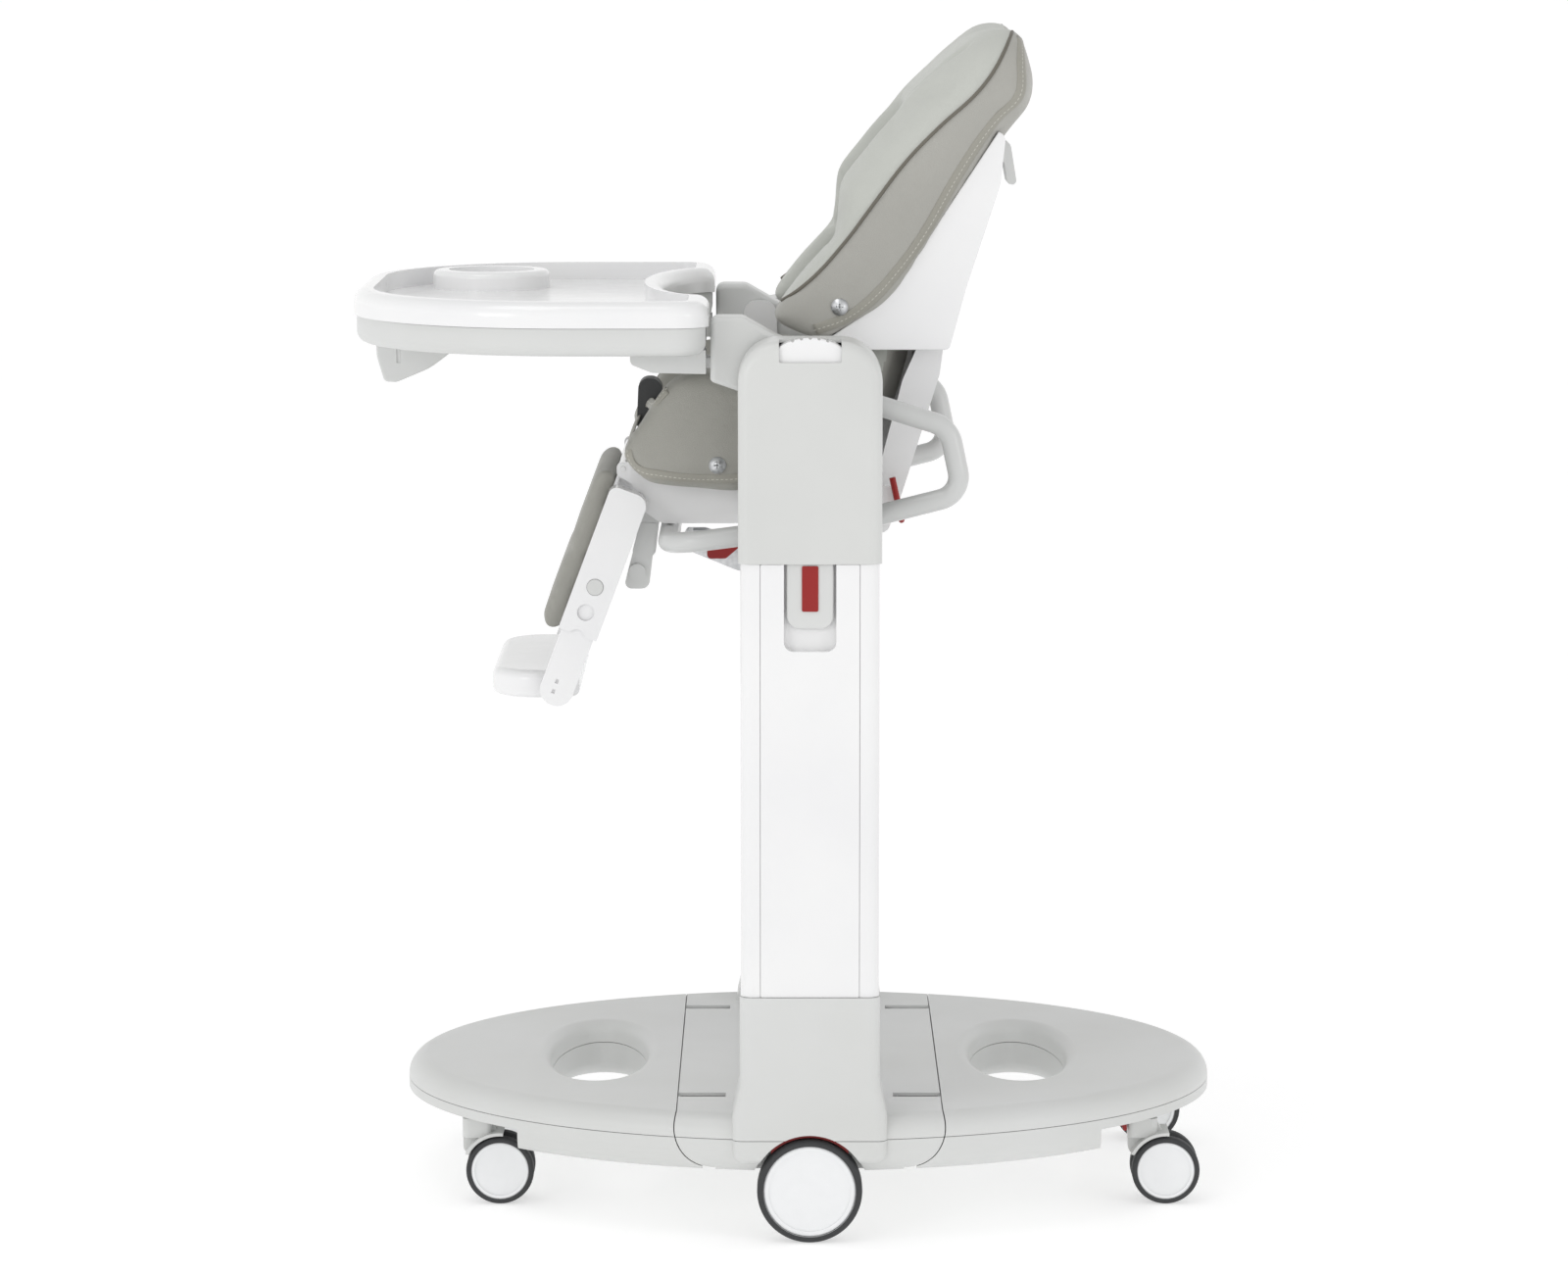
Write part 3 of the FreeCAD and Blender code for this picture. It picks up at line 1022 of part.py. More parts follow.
def legrest_plate():
    """The panel behind the legrest pad and the two sleeves that hold the footrest arms."""
    y = strut_centre()
    half = STRUT_WIDTH / 2.0
    panel = block((-112.0, 112.0), (LEG_Y - 3.0, LEG_Y), (LEG_Z - 168.0, LEG_Z))
    barrel = rod(5.0, V(-LEG_BARREL, LEG_Y, LEG_Z), V(LEG_BARREL, LEG_Y, LEG_Z))
    pin = rod(2.5, V(-LEG_BARREL - 7.5, LEG_Y, LEG_Z), V(LEG_BARREL + 7.5, LEG_Y, LEG_Z))
    pieces = [panel, barrel, pin]
    for side in (-1.0, 1.0):
        limits = sorted((side * STRUT_IN, side * STRUT_OUT))
        sleeve = plate([(y - half, LEG_Z - 158.0, 1.0), (y + half, LEG_Z - 158.0, 1.0),
                        (y + half, LEG_Z - 14.0, 12.0),
                        (y - half, LEG_Z - 14.0, 8.0)], "X", *limits)
        inner = sorted((side * (STRUT_IN + STRUT_WALL), side * (STRUT_OUT - STRUT_WALL)))
        sleeve = sleeve.cut(block(inner, (y - half + STRUT_WALL, y + half - STRUT_WALL),
                                  (LEG_Z - 170.0, LEG_Z - 22.0)))
        for i in range(3):
            z = LEG_Z - BUTTON_DROP - i * HOLE_PITCH
            near = V(side * (STRUT_OUT - 4.0), y, z)
            sleeve = sleeve.cut(rod(BUTTON_RADIUS + 0.3, near, V(side * (STRUT_OUT + 2.0), y, z)))
        link = block(sorted((side * 108.0, side * (STRUT_IN + 1.0))), (LEG_Y - 3.0, LEG_Y + 3.0),
                     (LEG_Z - 150.0, LEG_Z - 40.0))
        pieces += [sleeve, link]
    return leg_turned(joined(pieces))


def legrest_pad():
    """The padded front of the legrest in two segments."""
    pads = []
    for low, high in ((LEG_Z - 172.0, LEG_Z - 94.0), (LEG_Z - 92.0, LEG_Z - 4.0)):
        pads.append(plate(frame_of(LEG_Y - 20.0, LEG_Y - 3.5, low, high, 7.0), "X", -117.0, 117.0))
    return leg_turned(Part.makeCompound(pads))


def footrest_button():
    """One push button that locks a footrest arm."""
    y = strut_centre()
    z = LEG_Z - BUTTON_DROP
    button = rod(BUTTON_RADIUS, V(STRUT_OUT - STRUT_WALL + 0.2, y, z), V(STRUT_OUT + 1.0, y, z))
    button = softened(button, 1.0, lambda b: b.XLength < 0.01 and b.XMin > STRUT_OUT)
    return leg_turned(button)


def footrest_arms():
    """The two arms that slide in the legrest's sleeves, with round ends below."""
    y = strut_centre()
    half = STRUT_WIDTH / 2.0 - STRUT_WALL - FIT
    end = LEG_Z - 230.0
    top = LEG_Z - 30.0
    outer = STRUT_OUT - STRUT_WALL - FIT
    arm = plate([(y - half, end, half - 0.5), (y + half, end, half - 0.5), (y + half, top, 2.0),
                 (y - half, top, 2.0)],
                "X", STRUT_IN + STRUT_WALL + FIT, outer)
    groove = BUTTON_RADIUS + 1.0
    arm = arm.cut(block((outer - 3.5, outer + 1.0), (y - groove, y + groove),
                        (LEG_Z - BUTTON_DROP - groove, top + 1.0)))
    for z in (end + 13.0, end + 23.0):
        arm = arm.cut(block((STRUT_OUT - STRUT_WALL - 3.0, STRUT_OUT), (y - 4.0, y - 1.0),
                            (z - 2.0, z + 2.0)))
    arm = arm.cut(rod(4.15, V(0, y, end + 15.0), V(STRUT_IN + 12.0, y, end + 15.0)))
    return leg_turned(pair(arm))


def footrest_tread():
    """The foot tread, level in front of the arms' lower ends when the chair is at rest."""
    pivot = turned(Part.Vertex(V(0, strut_centre(), LEG_Z - 215.0)), LEG_ANGLE, LEG_Y, LEG_Z).Point
    front = pivot.y - STEP_LENGTH + 20.0
    rear = pivot.y + 20.0
    low = pivot.z - 12.0
    corners = [(-STEP_HALF, front, 44.0), (STEP_HALF, front, 44.0), (STEP_HALF, rear, 18.0),
               (-STEP_HALF, rear, 18.0)]
    board = plate(corners, "Z", low, low + STEP_THICK)
    board = board.makeFillet(9.0, flat_rims(board, low + STEP_THICK, 2.0))
    board = board.makeFillet(6.0, flat_rims(board, low, 2.0))
    pins = rod(4.0, V(-STRUT_IN - 10.0, pivot.y, pivot.z), V(STRUT_IN + 10.0, pivot.y, pivot.z))
    return joined([board, pins])


os.makedirs("parts", exist_ok=True)
hub_cover, hub_tray = hub_shells()
export("hub_top_cover", hub_cover)
export("hub_lower_shell", hub_tray)
export("base_crossbeam", crossbeam())
export("base_pins", Part.makeCompound(hinge_pins() + [wheel_axle(), mirrored(wheel_axle())]))
export("wheel_brake_shoes", pair(brake_shoe()))
wing_upper, wing_lower = wing_shells()
export("front_wing_top", wing_upper)
export("front_wing_bottom", wing_lower)
export("rear_wing_top", mirrored(wing_upper, "Y"))
export("rear_wing_bottom", mirrored(wing_lower, "Y"))
export("wheel_left", big_wheel())
export("wheel_right", mirrored(big_wheel()))
for end, y in (("front", -CASTER_Y), ("rear", CASTER_Y)):
    for hand, x in (("left", CASTER_X), ("right", -CASTER_X)):
        housing, wheels = caster(x, y)
        export("caster_" + end + "_" + hand, housing)
        export("caster_wheels_" + end + "_" + hand, wheels)
        if end == "rear":
            export("caster_brake_" + hand, caster_brake(x, y))
for hand, side in (("left", lambda s: s), ("right", mirrored)):
    export("column_" + hand, side(column()))
    export("head_cover_" + hand, side(head_cover()))
    export("release_tongue_" + hand, side(release_tongue()))
    export("release_mark_" + hand, side(release_mark()))
    export("swing_dial_" + hand, side(swing_dial()))
    export("armrest_" + hand, side(armrest()))
export("column_panels", pair(column_panel()))
export("height_racks", pair(height_rack()))
export("height_slides", pair(carriage()))
export("tube_frame", tube_frame())
export("seat_rail", seat_rail())
export("tilt_lever", tilt_lever())
export("tray_base", tray_base())
export("tray_top", tray_top())
export("tray_handle", tray_handle())
export("seat_shell", seat_shell())
export("seat_cushion", seat_cushion())
export("legrest_ratchet", legrest_ratchet())
export("crotch_post", crotch_post())
export("lap_harness", lap_harness())
export("seat_cover_screws", cover_screws([(-86.0, 716.0)], SEAT_WING_OUT + 0.1))
export("backrest_shell", backrest_shell())
export("backrest_cushion", backrest_cushion())
export("shoulder_harness", shoulder_harness())
export("back_cover_screws", cover_screws([(28.0, 862.0)], BACK_HALF + 0.1))
export("recline_lever", recline_lever())
export("rear_hook", rear_hook())
export("legrest_plate", legrest_plate())
export("legrest_pad", legrest_pad())
export("footrest_button_left", footrest_button())
export("footrest_button_right", mirrored(footrest_button()))
export("footrest_arms", footrest_arms())
export("footrest_tread", footrest_tread())
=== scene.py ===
# %% [markdown]
# # A wheeled baby high chair
# The hard parts of this chair (base, columns, heads, tray, shells) arrive as a finished frame: each
# one is already the right shape, in the right place and on the right moving body. This lesson gives
# those parts their finishes, and then makes what a frame can't hold: puffed leatherette pads, piping,
# sewn bindings with real stitches, and small screws.

# %% Load the frame
import math

import bmesh
import bpy
import numpy as np
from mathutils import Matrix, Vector
from mathutils.bvhtree import BVHTree


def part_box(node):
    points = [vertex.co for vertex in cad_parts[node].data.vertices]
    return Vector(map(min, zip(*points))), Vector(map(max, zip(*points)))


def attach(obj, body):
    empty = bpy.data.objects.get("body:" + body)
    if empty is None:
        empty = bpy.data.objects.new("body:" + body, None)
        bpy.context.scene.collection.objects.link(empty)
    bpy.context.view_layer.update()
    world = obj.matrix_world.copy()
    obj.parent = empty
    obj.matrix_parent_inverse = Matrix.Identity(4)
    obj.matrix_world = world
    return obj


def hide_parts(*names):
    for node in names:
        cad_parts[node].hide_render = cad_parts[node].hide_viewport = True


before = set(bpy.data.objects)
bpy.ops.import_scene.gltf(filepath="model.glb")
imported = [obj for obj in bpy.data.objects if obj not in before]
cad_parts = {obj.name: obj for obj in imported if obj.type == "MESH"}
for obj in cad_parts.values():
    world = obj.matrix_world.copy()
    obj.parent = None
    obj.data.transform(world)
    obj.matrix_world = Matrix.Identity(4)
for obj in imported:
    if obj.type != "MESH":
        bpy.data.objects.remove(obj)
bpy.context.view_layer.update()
MM = 0.001
column_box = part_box("column_left")
COLUMN_Y = (column_box[0][1] + column_box[1][1]) / 2
print("column axis at y =", round(COLUMN_Y, 4))

# %% [markdown]
# ## Shader arithmetic as plain expressions
# A procedural finish is mostly sums: a height here, a mask there. Blender builds sums from Math
# nodes, and a long chain of them is hard to read as node calls. The small class below wraps one
# socket and overloads Python's operators, so `1 - mask * 0.3` adds the nodes by itself. Every other
# node comes from one method, `node`, which sets the node's options first and its sockets after.


# %% One class for sockets, one for materials
class Wire:
    """A node's output socket that ordinary arithmetic works on."""

    def __init__(self, finish, socket):
        self.finish = finish
        self.socket = socket

    def maths(self, operation, *others, clamp=False):
        values = {i + 1: other for i, other in enumerate(others)}
        values[0] = self
        return self.finish.node("Math", {"operation": operation, "use_clamp": clamp}, values)

    def __add__(self, other):
        return self.maths("ADD", other)

    def __mul__(self, other):
        return self.maths("MULTIPLY", other)

    def __sub__(self, other):
        return self.maths("SUBTRACT", other)

    def __rsub__(self, other):
        return self.finish.node("Math", {"operation": "SUBTRACT"}, {0: other, 1: self})

    def __truediv__(self, other):
        return self.maths("DIVIDE", other)

    def __pow__(self, other):
        return self.maths("POWER", other)

    __radd__ = __add__
    __rmul__ = __mul__

    def above(self, edge, softness):
        """0 below an edge, 1 above it, with a soft step between."""
        return ((self - edge) / softness).maths("ADD", 0.5, clamp=True)


class Finish:
    """One procedural material."""

    def __init__(self, name, **constants):
        self.material = bpy.data.materials.new(name)
        self.material.use_nodes = True
        self.tree = self.material.node_tree
        self.shader = self.tree.nodes["Principled BSDF"]
        for key, value in constants.items():
            self.shader.inputs[key.replace("_", " ")].default_value = value
        self.place = self.node("TexCoord", {}, {}, "Object")

    def node(self, kind, settings, values, out=0):
        made = self.tree.nodes.new("ShaderNode" + kind)
        for key, value in settings.items():
            setattr(made, key, value)
        for key, value in values.items():
            self.feed(made.inputs[key], value)
        return Wire(self, made.outputs[out])

    def feed(self, socket, value):
        if isinstance(value, Wire):
            self.tree.links.new(value.socket, socket)
        else:
            socket.default_value = value

    def set(self, key, value):
        self.feed(self.shader.inputs[key], value)

    def noise(self, scale, detail=2.0, roughness=0.5):
        values = {"Vector": self.place, "Scale": scale, "Detail": detail, "Roughness": roughness}
        return self.node("TexNoise", {}, values)

    def cells(self, scale, feature="F1", out="Distance", place=None):
        values = {"Vector": place or self.place, "Scale": scale}
        return self.node("TexVoronoi", {"feature": feature}, values, out)

    def blend(self, mask, first, second):
        """Mix two colours by a mask."""
        return self.node("Mix", {"data_type": "RGBA"}, {0: mask, 6: first, 7: second}, 2)

    def bump(self, height, distance, strength=1.0):
        normal = self.node("Bump", {}, {"Height": height, "Distance": distance, "Strength": strength})
        self.set("Normal", normal)

    def axes(self):
        """The three coordinates of the surface as separate wires."""
        return [self.node("SeparateXYZ", {}, {0: self.place}, i) for i in range(3)]


def rgb(red, green, blue):
    """A linear colour from the 0 to 255 numbers that a paint chart gives."""
    levels = []
    for value in (red, green, blue):
        share = value / 255
        levels.append(share / 12.92 if share <= 0.04045 else ((share + 0.055) / 1.055) ** 2.4)
    return (*levels, 1.0)


print("shader helpers ready")

# %% [markdown]
# ## Moulded plastics
# The columns, shells and tray top are gloss white; the base, heads and armrests are a light gray with
# a fine satin texture from the mould. Gloss plastic is never perfectly even: it has a long, shallow
# waviness that bends reflections, and faint wiping marks that change its shine. Both plastics are one
# recipe with different numbers.


# %% Gloss and satin plastic
def plastic(name, colour, shade, shine, grain, grain_depth, coat=0.0):
    """Moulded plastic: slight colour drift, wiping marks in the shine, mould texture."""
    finish = Finish(name, IOR=1.5, Coat_Weight=coat, Coat_Roughness=0.06)
    drift = finish.noise(6.0, 3.0)
    finish.set("Base Color", finish.blend(drift.above(0.5, 0.35), colour, shade))
    smears = finish.noise(28.0, 4.0, 0.6)
    specks = finish.noise(grain * 0.2, 2.0)
    finish.set("Roughness", smears * 0.08 + specks * 0.04 + (shine - 0.06))
    waves = finish.noise(9.0, 1.0)
    texture = finish.noise(grain, 3.0, 0.7)
    finish.bump(waves * 1.2 + texture * grain_depth, 0.0006, 0.35)
    return finish.material


white = plastic("gloss_white", rgb(238, 238, 238), rgb(233, 233, 234), 0.2, 900.0, 0.02, 0.25)
gray = plastic("satin_gray", rgb(213, 214, 213), rgb(208, 209, 207), 0.4, 1400.0, 0.16)
head_gray = plastic("satin_head_gray", rgb(211, 212, 210), rgb(206, 207, 205), 0.36, 1400.0, 0.14)
tube_gray = plastic("painted_tube", rgb(204, 205, 204), rgb(198, 199, 198), 0.3, 700.0, 0.05, 0.3)
red = plastic("gloss_red", rgb(150, 10, 6), rgb(138, 9, 6), 0.42, 900.0, 0.03)
# The dark plastic is real dark nylon on the buckle; on the crotch post it is painted shade.
dark = plastic("dark_nylon_and_painted_shade", rgb(70, 71, 72), rgb(62, 63, 64), 0.45, 1400.0, 0.2)
print("plastics:", [m.name for m in (white, gray, head_gray, tube_gray, red, dark)])

# %% [markdown]
# ## Leatherette
# The pads are covered in a soft coated fabric. Close up it is a net of small pebbles with creases
# between them, about a millimetre across, over a few broader wrinkles. Voronoi cells give the
# pebbles: distance to the cell's edge is the crease. The creases are also duller, and a touch darker as
# painted shade.


# %% Leatherette in three tones
def leatherette(name, colour, shade):
    """Coated upholstery fabric with a pebbled grain."""
    finish = Finish(name, IOR=1.46)
    finish.shader.inputs["Sheen Weight"].default_value = 0.12
    finish.shader.inputs["Sheen Roughness"].default_value = 0.4
    bend = finish.noise(160.0, 2.0) * 0.0012
    shifted = finish.node("VectorMath", {"operation": "ADD"}, {0: finish.place, 1: bend})
    edge = finish.cells(780.0, "DISTANCE_TO_EDGE", 0, shifted)
    crease = 1 - edge.above(0.1, 0.16)
    broad = finish.noise(11.0, 4.0, 0.55)
    # The tone mixes random broad patches with the creases; the darker creases are painted shade, and their
    # higher roughness is real.
    tone = broad.above(0.5, 0.6) * 0.7 + crease * 0.3
    finish.set("Base Color", finish.blend(tone, colour, shade))
    finish.set("Roughness", crease * 0.16 + broad * 0.14 + 0.36)
    pebbles = edge.maths("MINIMUM", 0.22) * 2.2
    folds = finish.noise(34.0, 3.0, 0.6) * 3.0
    finish.bump(pebbles + folds, 0.00045, 0.55)
    return finish.material


side_skin = leatherette("leatherette_side", rgb(172, 171, 165), rgb(164, 163, 157))
front_skin = leatherette("leatherette_front", rgb(194, 196, 190), rgb(186, 188, 182))
seat_skin = leatherette("leatherette_seat", rgb(164, 163, 156), rgb(152, 151, 144))
binding_skin = leatherette("leatherette_binding", rgb(160, 158, 149), rgb(148, 146, 137))
# The piping's dark tone is painted shade: it stands in for the shadowed gap that runs beside the piped seam.
piping_shade_skin = leatherette("leatherette_piping_painted_shade", rgb(112, 108, 98), rgb(98, 95, 86))
print("leatherette tones made")

# %% [markdown]
# ## Tyres and wheel discs
# Each wheel is one moulding in the frame, with a white disc inside a dark rubber tyre. Where one
# stops and the other starts is simply a distance from the axle, so the material measures that
# distance in the wheel's own coordinates and switches between the two finishes there.


# %% A wheel finish for any axle
def wheel_finish(node, share):
    """White disc inside, dark tyre outside; share is the disc's part of the radius."""
    low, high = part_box(node)
    middle_y = (low[1] + high[1]) / 2
    middle_z = (low[2] + high[2]) / 2
    radius = (high[2] - low[2]) / 2
    finish = Finish("wheel_" + node, IOR=1.5)
    x, y, z = finish.axes()
    across = y - middle_y
    up = z - middle_z
    reach = (across * across + up * up) ** 0.5
    rubber = reach.above(radius * share, 0.0003)
    wear = finish.noise(60.0, 4.0, 0.6)
    tyre = finish.blend(wear, rgb(46, 47, 49), rgb(58, 59, 60))
    disc = finish.blend(wear, rgb(238, 239, 240), rgb(231, 232, 233))
    finish.set("Base Color", finish.blend(rubber, disc, tyre))
    finish.set("Roughness", rubber * 0.42 + wear * 0.08 + 0.2)
    around = finish.node("Math", {"operation": "ARCTAN2"}, {0: across, 1: up})
    ridges = (around * 90.0).maths("SINE") * rubber
    grip = finish.noise(900.0, 2.0) * rubber
    finish.bump(ridges * 0.25 + grip * 0.4 + wear * 0.1, 0.0002, 0.6)
    return finish.material


def cover(piece, material):
    """Give a piece one finish all over."""
    piece.data.materials.clear()
    piece.data.materials.append(material)


BIG_DISC_SHARE = 43.0 / 49.0
CASTER_DISC_SHARE = 27.5 / 32.5
WHEEL_NODES = [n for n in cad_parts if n.startswith("wheel_l") or n.startswith("wheel_r")]
CASTER_WHEEL_NODES = [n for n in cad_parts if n.startswith("caster_wheels")]
for name in WHEEL_NODES:
    cover(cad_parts[name], wheel_finish(name, BIG_DISC_SHARE))
for name in CASTER_WHEEL_NODES:
    cover(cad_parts[name], wheel_finish(name, CASTER_DISC_SHARE))
print("wheels finished:", len(WHEEL_NODES) + len(CASTER_WHEEL_NODES))

# %% [markdown]
# ## Steel and webbing
# The hidden beam, pins and notched strips are zinc plated: metal with a faint cloudy pattern of
# crystals. The harness is woven tape, and its weave is two sine waves at right angles whose
# overlaps make a small over-and-under pattern.


# %% Zinc and woven tape
def zinc():
    """Zinc-plated steel with cloudy crystals."""
    finish = Finish("zinc_plate", Metallic=1.0)
    cloud = finish.cells(260.0, "F1", "Distance")
    tone = cloud * 0.6 + finish.noise(40.0, 3.0) * 0.5
    finish.set("Base Color", finish.blend(tone, rgb(232, 233, 234), rgb(198, 200, 202)))
    finish.set("Roughness", tone * 0.2 + 0.24)
    finish.bump(finish.noise(700.0, 3.0), 0.0001, 0.4)
    return finish.material


def woven():
    """Harness tape woven from fine yarn."""
    finish = Finish("woven_tape", IOR=1.45)
    finish.shader.inputs["Sheen Weight"].default_value = 0.3
    x, y, z = finish.axes()
    warp = (x * 4200.0).maths("SINE")
    weft = ((y + z) * 4200.0).maths("SINE")
    yarn = warp * weft * 0.5 + 0.5
    finish.set("Base Color", finish.blend(yarn, rgb(128, 128, 124), rgb(156, 156, 151)))
    finish.set("Roughness", yarn * 0.1 + 0.72)
    finish.bump(yarn, 0.0003, 0.8)
    return finish.material


steel = zinc()
tape = woven()
print("steel and tape made")

# %% [markdown]
# ## One finish for each frame piece
# The frame's pieces are named after what they are, so the start of a name is enough to choose a
# finish. The first match wins. The wheels have their finish already, and the pads and cover screws
# are replaced further on, so no entry matches them.

# %% Give every frame piece its finish
FINISHES = {
    "column": white, "tray_top": white, "seat_shell": white, "backrest_shell": white,
    "legrest_plate": white, "footrest_arms": white, "footrest_tread": white, "swing_dial": white,
    "hub": gray, "front_wing": gray, "rear_wing": gray, "head_cover": head_gray, "armrest": gray,
    "tray_base": gray, "tray_handle": gray, "rear_hook": gray, "release_tongue": gray,
    "footrest_button": gray, "legrest_ratchet": gray, "caster_front": gray, "caster_rear": gray,
    "release_mark": red, "wheel_brake": red, "caster_brake": red, "tilt_lever": red,
    "recline_lever": red, "base_": steel, "height_racks": steel, "seat_rail": steel,
    # The crotch post takes the dark plastic as painted shade: it is gray plastic that lies in shade under the
    # tray.
    "tube_frame": tube_gray, "crotch_post": dark, "height_slides": dark,
    "lap_harness": tape, "shoulder_harness": tape,
}
finished = 0
for name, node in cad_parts.items():
    for start, material in FINISHES.items():
        if name.startswith(start):
            cover(node, material)
            finished += 1
            break
print("frame pieces finished:", finished, "of", len(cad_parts))

# %% [markdown]
# ## How a soft pad is made
# A pad starts as the plain solid that holds its place in the frame. A voxel remesh turns it into an
# even net of small squares, smoothing rounds its corners, and a short cloth simulation with pressure
# inside and no gravity blows it up like a cushion, so that its faces crown and its edges pull in.
# A cap on how far each point may move keeps it clear of its neighbours. Seams come afterwards, as
# narrow valleys pressed into the finished surface.


# %% Copying, remeshing and smoothing
def link(piece):
    """Put a new object in the scene."""
    bpy.context.scene.collection.objects.link(piece)
    return piece


def merged_copy(name, node):
    """A copy of a frame piece's mesh with its loose triangles merged."""
    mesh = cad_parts[node].data.copy()
    shell = bmesh.new()
    shell.from_mesh(mesh)
    bmesh.ops.remove_doubles(shell, verts=shell.verts, dist=0.00002)
    shell.to_mesh(mesh)
    shell.free()
    mesh.materials.clear()
    return link(bpy.data.objects.new(name, mesh))


def settle(piece):
    """Turn a piece with modifiers into a plain mesh."""
    graph = bpy.context.evaluated_depsgraph_get()
    mesh = bpy.data.meshes.new_from_object(piece.evaluated_get(graph))
    piece.modifiers.clear()
    piece.data = mesh
    return piece


def remesh(piece, size):
    """An even net of quads all over the piece."""
    modifier = piece.modifiers.new("voxels", "REMESH")
    modifier.mode = "VOXEL"
    modifier.voxel_size = size
    return settle(piece)


def points_of(mesh):
    """All vertex positions as rows."""
    flat = np.empty(len(mesh.vertices) * 3, np.float32)
    mesh.vertices.foreach_get("co", flat)
    return flat.reshape(-1, 3).astype(float)


def place_points(mesh, points):
    """Write vertex positions back."""
    mesh.vertices.foreach_set("co", points.astype(np.float32).ravel())
    mesh.update()


def relax(piece, rounds):
    """Round a mesh off by moving each point towards the mean of its neighbours."""
    mesh = piece.data
    flat = np.empty(len(mesh.edges) * 2, np.int32)
    mesh.edges.foreach_get("vertices", flat)
    first, second = flat.reshape(-1, 2).T
    points = points_of(mesh)
    count = np.bincount(flat, minlength=len(points))[:, None]
    for _ in range(rounds):
        total = np.zeros_like(points)
        np.add.at(total, first, points[second])
        np.add.at(total, second, points[first])
        points += 0.6 * (total / np.maximum(count, 1) - points)
    place_points(mesh, points)


def puff(piece, pressure, cap):
    """Blow a closed pad up by a cloth simulation, moving no point further than the cap."""
    scene = bpy.context.scene
    before = points_of(piece.data)
    cloth = piece.modifiers.new("air", "CLOTH")
    cloth.settings.quality = 5
    cloth.settings.mass = 0.3
    cloth.settings.tension_stiffness = 25
    cloth.settings.compression_stiffness = 25
    cloth.settings.bending_stiffness = 2.0
    cloth.settings.use_pressure = True
    cloth.settings.uniform_pressure_force = pressure
    cloth.settings.effector_weights.gravity = 0.0
    cloth.point_cache.frame_start = 1
    cloth.point_cache.frame_end = 20
    for number in range(1, 21):
        scene.frame_set(number)
    graph = bpy.context.evaluated_depsgraph_get()
    moved = points_of(piece.evaluated_get(graph).data) - before
    piece.modifiers.remove(cloth)
    scene.frame_set(1)
    length = np.linalg.norm(moved, axis=1, keepdims=True)
    place_points(piece.data, before + moved * np.minimum(1.0, cap / np.maximum(length, 1e-9)))
    print(piece.name, "puffed by up to", round(float(np.minimum(length, cap).max()) * 1000, 1), "mm")


def subdivide(piece):
    """One level of subdivision, made into plain mesh."""
    modifier = piece.modifiers.new("smooth", "SUBSURF")
    modifier.levels = 1
    modifier.render_levels = 1
    return settle(piece)


def shade_smooth(piece):
    """Smooth shading all over."""
    piece.data.polygons.foreach_set("use_smooth", [True] * len(piece.data.polygons))
    piece.data.update()


# %% Lines in the side view
def side_line(*pairs):
    """Millimetre points (y from the column axis, z) as metres in the chair's frame."""
    return np.array([(COLUMN_Y + y * MM, z * MM) for y, z in pairs])


def smooth_line(line, count=120):
    """Even points along a smooth curve through a few chosen ones."""
    curve = bpy.data.curves.new("line", "CURVE")
    spline = curve.splines.new("BEZIER")
    spline.bezier_points.add(len(line) - 1)
    for knot, point in zip(spline.bezier_points, line):
        knot.co = (0.0, *point) if len(point) == 2 else point
        knot.handle_left_type = "AUTO"
        knot.handle_right_type = "AUTO"
    spline.resolution_u = 24
    holder = bpy.data.objects.new("line", curve)
    mesh = bpy.data.meshes.new_from_object(holder)
    dense = points_of(mesh)
    bpy.data.meshes.remove(mesh)
    bpy.data.objects.remove(holder)
    bpy.data.curves.remove(curve)
    steps = np.r_[0.0, np.cumsum(np.linalg.norm(np.diff(dense, axis=0), axis=1))]
    wanted = np.linspace(0.0, steps[-1], count)
    return np.stack([np.interp(wanted, steps, dense[:, i]) for i in range(3)], axis=1)


def signed_reach(points, line):
    """How far each point is in front of a line in the side view, negative behind it."""
    flat = points[:, 1:3]
    best = np.full(len(flat), 1e9)
    sign = np.ones(len(flat))
    for start, end in zip(line[:-1, 1:3], line[1:, 1:3]):
        along = end - start
        share = np.clip((flat - start) @ along / max(along @ along, 1e-12), 0, 1)
        offset = flat - (start + share[:, None] * along)
        length = np.linalg.norm(offset, axis=1)
        nearer = length < best
        best = np.where(nearer, length, best)
        cross = along[0] * offset[:, 1] - along[1] * offset[:, 0]
        sign = np.where(nearer, -np.sign(cross), sign)
    return best * sign


def press(piece, line, width, depth, plane=(0, 2), facing=(0, -1, 0)):
    """Press a narrow valley along a line that is given in one plane, on faces that look one way."""
    mesh = piece.data
    points = points_of(mesh)
    normals = np.array([v.normal for v in mesh.vertices])
    flat = points[:, plane]
    best = np.full(len(flat), 1e9)
    for start, end in zip(line[:-1], line[1:]):
        along = end - start
        share = np.clip((flat - start) @ along / max(along @ along, 1e-12), 0, 1)
        best = np.minimum(best, np.linalg.norm(flat - (start + share[:, None] * along), axis=1))
    looks = np.clip(normals @ np.array(facing, float), 0, 1)
    sink = depth * np.exp(-((best / width) ** 2)) * np.minimum(1.0, looks * 2)
    place_points(mesh, points - normals * sink[:, None])


print("pad helpers ready")

# %% [markdown]
# ## The backrest pad
# Seen from the side, the backrest has two tones: a wide flat side panel, and a lighter front pad that
# bulges ahead of it. A piped seam joins the two. The pad is made from its plain solid: its front
# edges are rolled inwards ahead of the seam, like the quarter round of a bolster, before it is blown
# up. Faces behind the seam then take the darker side material.

